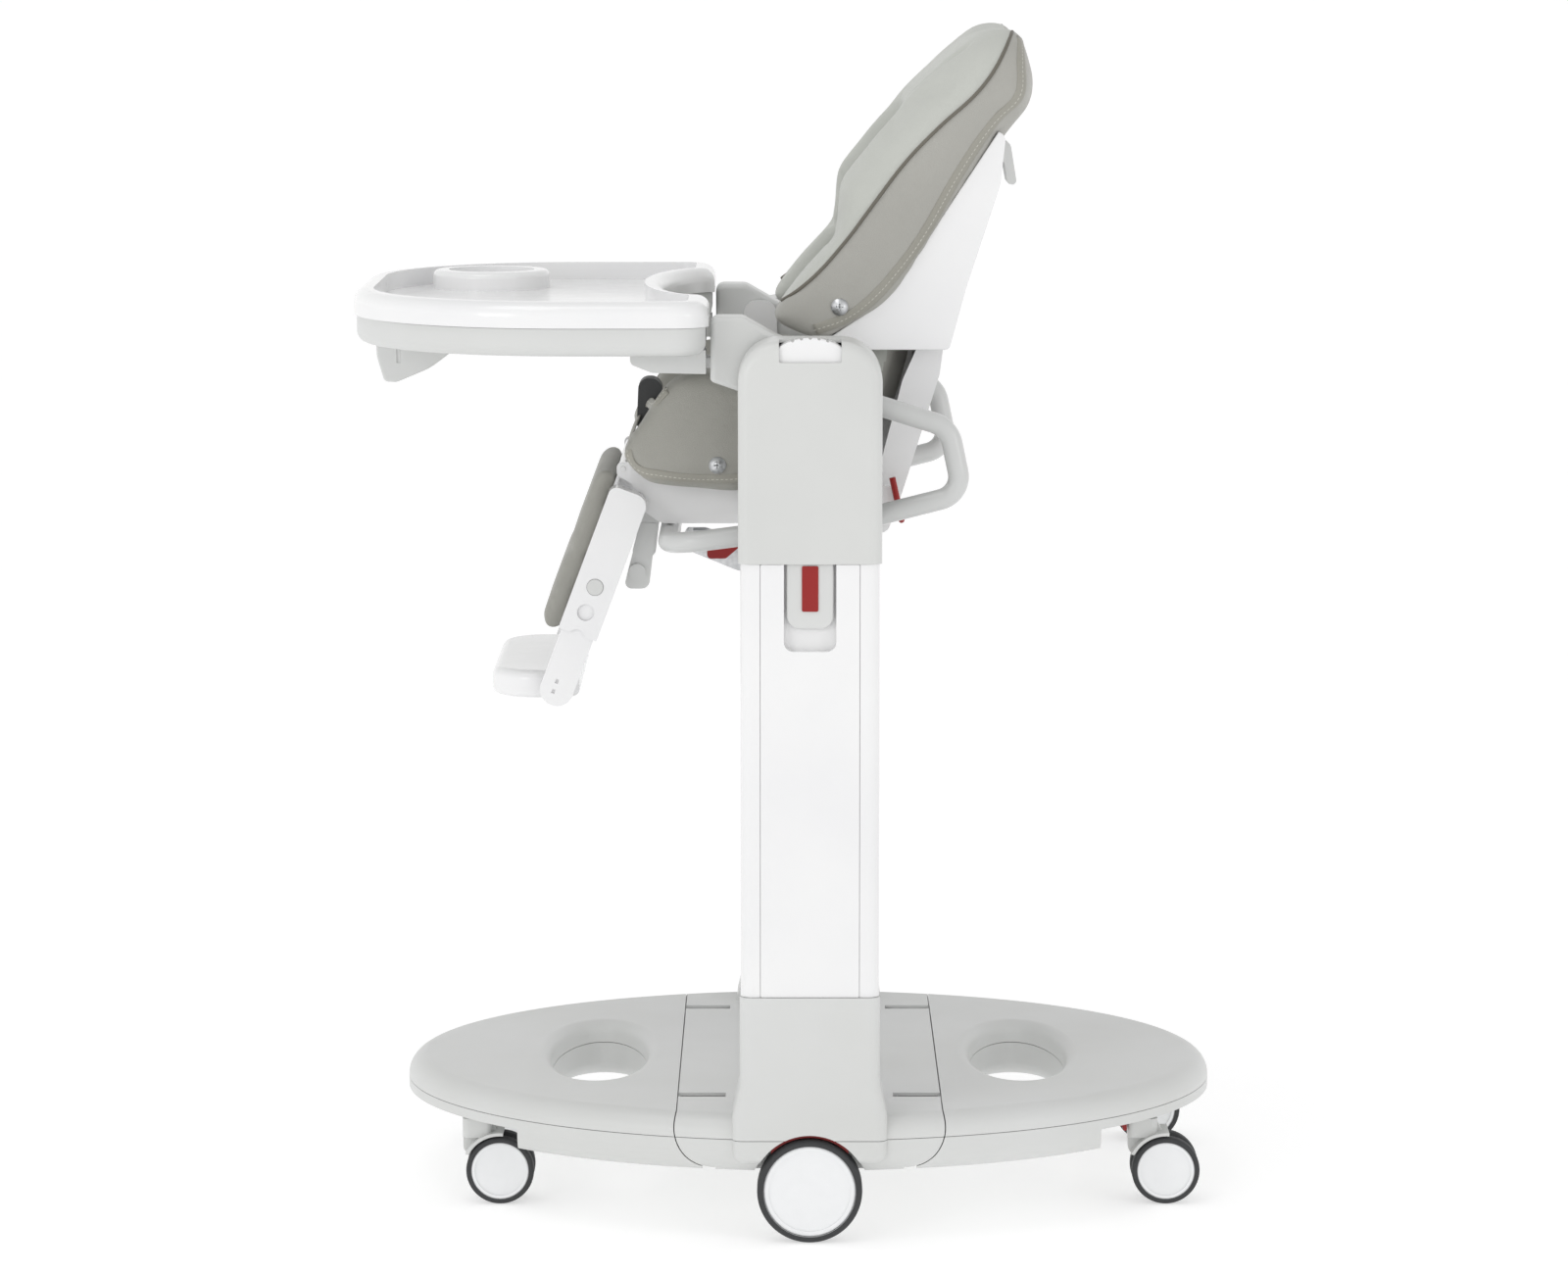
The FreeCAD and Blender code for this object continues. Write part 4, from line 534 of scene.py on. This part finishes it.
# %% Backrest pad
BACK_SEAM = smooth_line(side_line((195, 1127), (164, 1071), (118, 1027), (91, 999), (59, 957),
                                  (33, 922), (0, 886), (-46, 853)))
BACK_EDGE = smooth_line(side_line((206, 1119), (206, 1092), (203, 1054), (180, 1030), (147, 982),
                                  (114, 924), (91, 892), (63, 861), (38, 843), (8, 832)))
PAD_HALF_WIDTH = 0.168
ROLL_DEPTH = 46 * MM
ROLL_IN = 44 * MM
BACKWARD = 0.3


def roll_front(piece, seam, least):
    """Narrow a pad ahead of its seam along a quarter ellipse."""
    points = points_of(piece.data)
    reach = np.clip(signed_reach(points, seam) / ROLL_DEPTH, 0, 1)
    inward = ROLL_IN * (1 - np.sqrt(1 - reach**2))
    outer = np.clip((np.abs(points[:, 0]) - least) / (PAD_HALF_WIDTH - least), 0, 1)
    points[:, 0] -= np.sign(points[:, 0]) * inward * outer
    place_points(piece.data, points)


back_pad = remesh(merged_copy("back_pad", "backrest_cushion"), 6 * MM)
relax(back_pad, 10)
roll_front(back_pad, BACK_SEAM, 0.09)
relax(back_pad, 3)
puff(back_pad, 4.0, 7 * MM)
relax(back_pad, 2)
subdivide(back_pad)
for side in (-1, 1):
    crease = np.array([(side * 0.118, 1.10), (side * 0.085, 1.045), (side * 0.03, 0.985),
                       (side * 0.004, 0.95)])
    press(back_pad, crease, 5 * MM, 5 * MM)
press(back_pad, np.array([(-0.12, 0.925), (0.0, 0.915), (0.12, 0.925)]), 5 * MM, 4 * MM)
shade_smooth(back_pad)


def two_tone(piece, seam, front, side, least):
    """Give the side material to faces behind the seam that are near a side or look backwards."""
    mesh = piece.data
    mesh.materials.clear()
    mesh.materials.append(front)
    mesh.materials.append(side)
    middles = np.empty(len(mesh.polygons) * 3, np.float32)
    mesh.polygons.foreach_get("center", middles)
    middles = middles.reshape(-1, 3).astype(float)
    looks_back = np.array([p.normal.y for p in mesh.polygons]) > BACKWARD
    behind = (signed_reach(middles, seam) < 0) & ((np.abs(middles[:, 0]) > least) | looks_back)
    mesh.polygons.foreach_set("material_index", behind.astype(np.int32))
    mesh.update()


two_tone(back_pad, BACK_SEAM, front_skin, side_skin, 0.12)
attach(back_pad, "backrest")
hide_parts("backrest_cushion")
print("back pad faces:", len(back_pad.data.polygons))

# %% [markdown]
# ## The seat pad and the legrest pad
# The seat pad has a flat sitting surface and two side wings that hide the seat's edges. The legrest
# pad is two thin padded panels with a fold between them, so they swell less than the seat does.

# %% Seat pad
seat_pad = remesh(merged_copy("seat_pad", "seat_cushion"), 5 * MM)
relax(seat_pad, 7)
puff(seat_pad, 4.0, 4 * MM)
relax(seat_pad, 2)
subdivide(seat_pad)
for side in (-1, 1):
    channel = np.array([(side * 0.07, COLUMN_Y - 0.165), (side * 0.075, COLUMN_Y + 0.02)])
    press(seat_pad, channel, 4 * MM, 4 * MM, plane=(0, 1), facing=(0, 0, 1))
shade_smooth(seat_pad)
cover(seat_pad, seat_skin)
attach(seat_pad, "seat")
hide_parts("seat_cushion")
print("seat pad faces:", len(seat_pad.data.polygons))

# %% Legrest pad
leg_pad = remesh(merged_copy("leg_pad", "legrest_pad"), 4 * MM)
relax(leg_pad, 4)
puff(leg_pad, 4.0, 3 * MM)
relax(leg_pad, 1)
subdivide(leg_pad)
shade_smooth(leg_pad)
cover(leg_pad, seat_skin)
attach(leg_pad, "legrest")
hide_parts("legrest_pad")
print("legrest pad faces:", len(leg_pad.data.polygons))

# %% [markdown]
# ## Piping and bindings
# Piping is a thin cord sewn into a seam. A binding is a folded strip that closes a raw edge. Both
# must lie exactly on the puffed surface, and the simulation decides where that is, so each one is
# laid by shooting rays at the pad from the side and keeping the points that they hit.


# %% Laying lines on a pad
RAY_START = 0.4
PAD_INSIDE = 0.08


def surface_of(piece):
    """A search tree of a piece's faces, for shooting rays at it."""
    mesh = piece.data
    return BVHTree.FromPolygons([v.co for v in mesh.vertices], [p.vertices for p in mesh.polygons])


def even_out(places, normals, rounds):
    """Smooth a line's places and normals, keeping its ends."""
    for _ in range(rounds):
        places[1:-1] = (places[:-2] + 2 * places[1:-1] + places[2:]) / 4
        normals[1:-1] = (normals[:-2] + 2 * normals[1:-1] + normals[2:]) / 4
    normals /= np.linalg.norm(normals, axis=1, keepdims=True)


def lay(piece, line, side, lift):
    """Where a side-view line meets a pad from its left (1) or right (-1), and the normals there."""
    tree = surface_of(piece)
    found = []
    for point in line:
        start = Vector((side * RAY_START, point[1], point[2]))
        hit, normal, _, _ = tree.ray_cast(start, Vector((-side, 0, 0)))
        if hit is not None and abs(hit.x) > PAD_INSIDE:
            found.append((np.array(hit), np.array(normal)))
    places = np.array([place for place, _ in found])
    normals = np.array([normal for _, normal in found])
    even_out(places, normals, 6)
    return places + normals * lift, normals


def sweep(name, places, normals, profile, material, body):
    """A closed strip along a line; the profile is (across, up) pairs in metres."""
    tangents = np.gradient(places, axis=0)
    tangents /= np.linalg.norm(tangents, axis=1, keepdims=True)
    across = np.cross(normals, tangents)
    across /= np.linalg.norm(across, axis=1, keepdims=True)
    rings = [places + across * a + normals * b for a, b in profile]
    points = np.stack(rings, axis=1).reshape(-1, 3)
    turn = len(profile)
    rows = len(places)
    faces = []
    for i in range(rows - 1):
        for j in range(turn):
            k = (j + 1) % turn
            faces.append((i * turn + j, i * turn + k, (i + 1) * turn + k, (i + 1) * turn + j))
    faces.append(tuple(range(turn - 1, -1, -1)))
    faces.append(tuple((rows - 1) * turn + j for j in range(turn)))
    mesh = bpy.data.meshes.new(name)
    mesh.from_pydata([tuple(p) for p in points], [], faces)
    shell = bmesh.new()
    shell.from_mesh(mesh)
    bmesh.ops.recalc_face_normals(shell, faces=shell.faces)
    shell.to_mesh(mesh)
    shell.free()
    mesh.materials.append(material)
    piece = link(bpy.data.objects.new(name, mesh))
    shade_smooth(piece)
    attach(piece, body)
    return piece


def round_profile(radius, count=10):
    """A circle for piping."""
    turns = [2 * math.pi * i / count for i in range(count)]
    return [(radius * math.cos(t), radius * math.sin(t)) for t in turns]


def strip_profile(width, height):
    """A low rounded strip for a binding."""
    half = width / 2
    stations = (1.0, 0.9, 0.6, 0.2, -0.2, -0.6, -0.9, -1.0)
    top = [(half * c, height * (1 - abs(c) ** 3)) for c in stations]
    return top + [(-half, -0.001), (half, -0.001)]


# %% [markdown]
# ## Stitches
# Stitches repeat hundreds of times along a path, which is exactly what Geometry Nodes are for: the
# tree resamples a curve at the stitch pitch, puts one small capsule at each point, turned along the
# curve, and makes the copies real so that they become part of a plain mesh.


# %% A stitch recipe in Geometry Nodes
class Recipe:
    """A Geometry Nodes tree with named inputs."""

    def __init__(self, name, inputs):
        self.tree = bpy.data.node_groups.new(name, "GeometryNodeTree")
        sockets = self.tree.interface
        sockets.new_socket(name="Geometry", in_out="OUTPUT", socket_type="NodeSocketGeometry")
        self.keys = {}
        labels = [("Geometry", "NodeSocketGeometry")] + list(inputs)
        for label, kind in labels:
            made = sockets.new_socket(name=label, in_out="INPUT", socket_type=kind)
            self.keys[label] = made.identifier
        self.start = self.tree.nodes.new("NodeGroupInput")
        self.end = self.tree.nodes.new("NodeGroupOutput")

    def given(self, label):
        """One of the tree's own inputs."""
        return self.start.outputs[label]

    def node(self, kind, settings, values, out=0):
        made = self.tree.nodes.new(kind)
        for key, value in settings.items():
            setattr(made, key, value)
        for key, value in values.items():
            if isinstance(value, bpy.types.NodeSocket):
                self.tree.links.new(value, made.inputs[key])
            else:
                made.inputs[key].default_value = value
        return made.outputs[out]

    def close(self, shape, material):
        """End the tree with real copies and one material."""
        real = self.node("GeometryNodeRealizeInstances", {}, {"Geometry": shape})
        smooth = self.node("GeometryNodeSetShadeSmooth", {}, {"Geometry": real})
        done = self.node("GeometryNodeSetMaterial", {}, {"Geometry": smooth, "Material": material})
        self.tree.links.new(done, self.end.inputs["Geometry"])

    def grow(self, piece, body, **sizes):
        """Run the tree on a piece, keep the result as a plain mesh and put it on a body."""
        modifier = piece.modifiers.new("recipe", "NODES")
        modifier.node_group = self.tree
        for label, value in sizes.items():
            modifier[self.keys[label.replace("_", " ")]] = value
        graph = bpy.context.evaluated_depsgraph_get()
        mesh = bpy.data.meshes.new_from_object(piece.evaluated_get(graph))
        name = piece.name
        bpy.data.objects.remove(piece)
        made = link(bpy.data.objects.new(name, mesh))
        made.name = name
        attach(made, body)
        print(name, "faces:", len(mesh.polygons))
        return made


thread = plastic("thread", rgb(214, 213, 205), rgb(196, 195, 187), 0.6, 1800.0, 0.3)
stitches = Recipe("stitches", [("Pitch", "NodeSocketFloat"), ("Length", "NodeSocketFloat"),
                               ("Thickness", "NodeSocketFloat")])
spaced = stitches.node("GeometryNodeResampleCurve", {"mode": "LENGTH"},
                       {"Curve": stitches.given("Geometry"), "Length": stitches.given("Pitch")})
capsule = stitches.node("GeometryNodeMeshUVSphere", {}, {"Segments": 6, "Rings": 5, "Radius": 0.5})
thickness = stitches.given("Thickness")
stretch = stitches.node("ShaderNodeCombineXYZ", {}, {0: thickness, 1: thickness, 2: stitches.given("Length")})
tangent = stitches.node("GeometryNodeInputTangent", {}, {})
turned = stitches.node("FunctionNodeAlignRotationToVector", {"axis": "Z"}, {"Vector": tangent})
copies = stitches.node("GeometryNodeInstanceOnPoints", {},
                       {"Points": spaced, "Instance": capsule, "Rotation": turned, "Scale": stretch})
stitches.close(copies, thread)


def sew(name, places, body):
    """A row of stitches along a line of places."""
    curve = bpy.data.curves.new(name, "CURVE")
    curve.dimensions = "3D"
    spline = curve.splines.new("POLY")
    spline.points.add(len(places) - 1)
    for knot, place in zip(spline.points, places):
        knot.co = (*place, 1.0)
    piece = link(bpy.data.objects.new(name, curve))
    made = stitches.grow(piece, body, Pitch=4.4 * MM, Length=3.1 * MM, Thickness=0.8 * MM)


# %% Sew the backrest and the seat
SEAT_EDGE = smooth_line(side_line((-133, 786), (-160, 752), (-170, 730), (-162, 712), (-140, 706),
                                  (-66, 703), (0, 712), (36, 727)))
PIPING_LIFT = 0.6 * MM
BINDING_INSET = 9 * MM
STITCH_LIFT = 1.2 * MM
for side, hand in ((1, "left"), (-1, "right")):
    places, normals = lay(back_pad, BACK_SEAM, side, PIPING_LIFT)
    # The piping takes the dark tone, which is painted shade for the gap beside the seam.
    sweep("back_piping_" + hand, places, normals, round_profile(1.7 * MM), piping_shade_skin, "backrest")
    inner = BACK_EDGE.copy()
    away = np.array([-np.gradient(inner[:, 2]), np.gradient(inner[:, 1])]).T
    away /= np.linalg.norm(away, axis=1, keepdims=True)
    inner[:, 1:3] -= away * BINDING_INSET
    places, normals = lay(back_pad, inner, side, 0.0)
    profile = strip_profile(11 * MM, 1.3 * MM)
    sweep("back_binding_" + hand, places, normals, profile, binding_skin, "backrest")
    sew("back_stitches_" + hand, places + normals * STITCH_LIFT, "backrest")
    places, normals = lay(seat_pad, SEAT_EDGE, side, 0.0)
    profile = strip_profile(10 * MM, 1.3 * MM)
    sweep("seat_binding_" + hand, places, normals, profile, binding_skin, "seat")
    sew("seat_stitches_" + hand, places + normals * STITCH_LIFT, "seat")
print("piping, bindings and stitches laid")

# %% [markdown]
# ## The harness
# Two shoulder straps run down the backrest and two lap straps cross the seat to a buckle. Webbing is
# flat and stiff across its width, so a strap is a thin swept band that is dropped onto the pads by
# rays, with a row of stitches near each edge. The buckle is a rounded housing with two prongs and a
# press button; edges are rounded with a bevel.


# %% Straps
STRAP_WIDTH = 25 * MM
STRAP_THICK = 1.7 * MM
EDGE_TO_STITCH = 3 * MM


def drop(piece, starts, direction):
    """Where rays meet a pad, and the normals there, smoothed along the line."""
    tree = surface_of(piece)
    found = [tree.ray_cast(Vector(start), Vector(direction)) for start in starts]
    places = np.array([tuple(hit[0]) for hit in found if hit[0] is not None])
    normals = np.array([tuple(hit[1]) for hit in found if hit[0] is not None])
    even_out(places, normals, 12)
    return places, normals


def band_profile(width, thick):
    """A flat strap's section with slightly rounded edges."""
    half = width / 2
    lip = thick * 0.4
    top = [(half, -lip), (half, thick - lip), (half - lip, thick), (-half + lip, thick)]
    return top + [(-half, thick - lip), (-half, -lip)]


def strap(name, places, normals, body, node):
    """One strap with stitches along both edges."""
    profile = band_profile(STRAP_WIDTH, STRAP_THICK)
    piece = sweep(name, places, normals, profile, tape, body)
    tangents = np.gradient(places, axis=0)
    across = np.cross(normals, tangents)
    across /= np.linalg.norm(across, axis=1, keepdims=True)
    for side in (-1, 1):
        row = places + across * side * (STRAP_WIDTH / 2 - EDGE_TO_STITCH) + normals * STRAP_THICK
        sew(name + ("_stitches_a" if side < 0 else "_stitches_b"), row, body)
    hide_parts(node)


for side, hand in ((1, "left"), (-1, "right")):
    starts = [(side * 0.045, COLUMN_Y - 0.5, z) for z in np.linspace(0.975, 0.748, 60)]
    places, normals = drop(back_pad, starts, (0, 1, 0))
    strap("shoulder_strap_" + hand, places, normals, "backrest", "shoulder_harness")
    starts = [(side * x, COLUMN_Y - 0.078, 1.0) for x in np.linspace(0.022, 0.13, 40)]
    places, normals = drop(seat_pad, starts, (0, 0, -1))
    strap("lap_strap_" + hand, places, normals, "seat", "lap_harness")


# %% Buckle
def rounded_block(name, low, high, bevel, material, body):
    """A block with generously rounded edges."""
    shell = bmesh.new()
    bmesh.ops.create_cube(shell, size=1.0)
    for vert in shell.verts:
        vert.co = Vector([low[i] + (vert.co[i] + 0.5) * (high[i] - low[i]) for i in range(3)])
    mesh = bpy.data.meshes.new(name)
    shell.to_mesh(mesh)
    shell.free()
    mesh.materials.append(material)
    piece = link(bpy.data.objects.new(name, mesh))
    modifier = piece.modifiers.new("edges", "BEVEL")
    modifier.width = bevel
    modifier.segments = 5
    settle(piece)
    shade_smooth(piece)
    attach(piece, body)


buckle_low, buckle_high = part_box("lap_harness")
buckle_starts = [(0, COLUMN_Y + y, 1.0) for y in (-0.09, -0.077, -0.064)]
top = max(drop(seat_pad, buckle_starts, (0, 0, -1))[0][:, 2])
middle_y = (buckle_low[1] + buckle_high[1]) / 2
rounded_block("buckle_housing", (-0.024, middle_y - 0.02, top + 0.0005),
              (0.024, middle_y + 0.02, top + 0.0125), 4.5 * MM, dark, "seat")
rounded_block("buckle_button", (-0.01, middle_y - 0.012, top + 0.006),
              (0.01, middle_y + 0.006, top + 0.0142), 3 * MM, red, "seat")
for side, hand in ((1, "left"), (-1, "right")):
    inner, outer = sorted((side * 0.022, side * 0.040))
    rounded_block("buckle_prong_" + hand, (inner, middle_y - 0.016, top + 0.002),
                  (outer, middle_y + 0.016, top + 0.009), 2.5 * MM, dark, "seat")
print("harness made")

# %% [markdown]
# ## Cover screws
# Four cross-head screws with washers hold the leatherette to the seat and back. One Geometry Nodes
# tree makes the screw: a washer, a domed head and a cross cut out of it. It is set on single points,
# one for each side of the chair.

# %% Screws
screw = Recipe("cross_head_screw", [("Washer", "NodeSocketFloat"), ("Head", "NodeSocketFloat"),
                                    ("Turn", "NodeSocketRotation")])
washer = screw.node("GeometryNodeMeshCylinder", {},
                    {"Vertices": 36, "Radius": screw.given("Washer"), "Depth": 0.0028})
dome = screw.node("GeometryNodeMeshUVSphere", {},
                  {"Segments": 28, "Rings": 14, "Radius": screw.given("Head")})
flatten = screw.node("GeometryNodeTransform", {}, {"Geometry": dome, "Scale": (1.0, 1.0, 0.62)})
blade = screw.node("GeometryNodeMeshCube", {}, {"Size": (0.0064, 0.0013, 0.006)})
blade_up = screw.node("GeometryNodeTransform", {},
                      {"Geometry": blade, "Translation": (0.0, 0.0, 0.0045)})
blade_across = screw.node("GeometryNodeTransform", {},
                          {"Geometry": blade_up, "Rotation": (0.0, 0.0, math.pi / 2)})
first_cut = screw.node("GeometryNodeMeshBoolean", {"operation": "DIFFERENCE"},
                       {"Mesh 1": flatten, "Mesh 2": blade_up})
second_cut = screw.node("GeometryNodeMeshBoolean", {"operation": "DIFFERENCE"},
                        {"Mesh 1": first_cut, "Mesh 2": blade_across})
both = screw.node("GeometryNodeJoinGeometry", {}, {"Geometry": washer})
screw.tree.links.new(second_cut, both.node.inputs["Geometry"])
placed = screw.node("GeometryNodeInstanceOnPoints", {},
                    {"Points": screw.given("Geometry"), "Instance": both, "Rotation": screw.given("Turn")})
screw.close(placed, steel)


def put_screw(name, pad, node, side, body):
    """One screw on the pad's surface, over the frame's own screw."""
    low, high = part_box(node)
    y = (low[1] + high[1]) / 2
    z = (low[2] + high[2]) / 2
    places, _ = lay(pad, np.array([(0, y - MM, z), (0, y, z), (0, y + MM, z)]), side, 0.0)
    spot = (float(places[1][0]) + side * 0.6 * MM, y, z)
    mesh = bpy.data.meshes.new(name)
    mesh.from_pydata([spot], [], [])
    piece = link(bpy.data.objects.new(name, mesh))
    turn = (0.0, side * math.pi / 2, 0.0)
    made = screw.grow(piece, body, Washer=8.0 * MM, Head=4.6 * MM, Turn=turn)
    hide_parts(node)


for side, hand in ((1, "left"), (-1, "right")):
    put_screw("back_screw_" + hand, back_pad, "back_cover_screws", side, "backrest")
    put_screw("seat_screw_" + hand, seat_pad, "seat_cover_screws", side, "seat")

# %% [markdown]
# ## Stage, light and camera
# A studio picture of a white product needs a bright, even surround: a pale floor that runs off into
# a pale world, a large soft light overhead, and a weaker one from each side so that white parts keep
# an edge against the white ground. The camera looks straight at the chair's left side from a little
# above.

# %% Floor and world
FLOOR_REACH = 80
floor_mesh = bpy.data.meshes.new("floor")
corners = [(-FLOOR_REACH, -FLOOR_REACH, 0), (FLOOR_REACH, -FLOOR_REACH, 0),
           (FLOOR_REACH, FLOOR_REACH, 0), (-FLOOR_REACH, FLOOR_REACH, 0)]
floor_mesh.from_pydata(corners, [], [(0, 1, 2, 3)])
floor = link(bpy.data.objects.new("floor", floor_mesh))
table = Finish("studio_floor", Roughness=0.7)
table.set("Base Color", table.blend(table.noise(2.0, 2.0), (0.60, 0.60, 0.60, 1), (0.58, 0.58, 0.58, 1)))
table.shader.inputs["Emission Color"].default_value = (1.0, 1.0, 1.0, 1.0)
table.shader.inputs["Emission Strength"].default_value = 0.53
floor_mesh.materials.append(table.material)

world = bpy.data.worlds.new("studio")
world.use_nodes = True
sky = world.node_tree
height = sky.nodes.new("ShaderNodeTexCoord")
split = sky.nodes.new("ShaderNodeSeparateXYZ")
fade = sky.nodes.new("ShaderNodeMapRange")
sky.links.new(height.outputs["Generated"], split.inputs[0])
sky.links.new(split.outputs["Z"], fade.inputs["Value"])
fade.inputs["From Min"].default_value = 0.15
fade.inputs["To Max"].default_value = 0.55
fade.inputs["To Min"].default_value = 1.04
sky.links.new(fade.outputs["Result"], sky.nodes["Background"].inputs["Strength"])
sky.nodes["Background"].inputs["Color"].default_value = (1.0, 1.0, 1.0, 1.0)
bpy.context.scene.world = world
bpy.context.scene.view_settings.view_transform = "Standard"
print("floor and world ready")


# %% Soft lights
def soft_light(name, place, target, size, power):
    """A square area light that looks at a point."""
    lamp = bpy.data.lights.new(name, "AREA")
    lamp.size = size
    lamp.energy = power
    holder = link(bpy.data.objects.new(name, lamp))
    holder.location = place
    holder.rotation_euler = (Vector(target) - Vector(place)).to_track_quat("-Z", "Y").to_euler()


soft_light("overhead", (0.9, -0.8, 3.0), (0, 0, 0.6), 1.2, 9)
soft_light("front_left", (3.0, -2.2, 1.5), (0, 0, 0.7), 1.0, 11)
soft_light("rear_left", (2.2, 2.6, 1.2), (0, 0, 0.6), 0.8, 5)
print("lights placed")

# %% Camera
LOOKS_DOWN = 7.92
camera_data = bpy.data.cameras.new("camera")
camera_data.sensor_width = 36.0
camera_data.lens = 121.2
camera_data.clip_end = 100.0
camera = link(bpy.data.objects.new("camera", camera_data))
camera.location = (5.088, COLUMN_Y - 0.0239, 1.236)
camera.rotation_euler = (math.radians(90.0 - LOOKS_DOWN), 0.0, math.radians(90.0))
bpy.context.scene.camera = camera
print("camera at", tuple(round(c, 3) for c in camera.location))
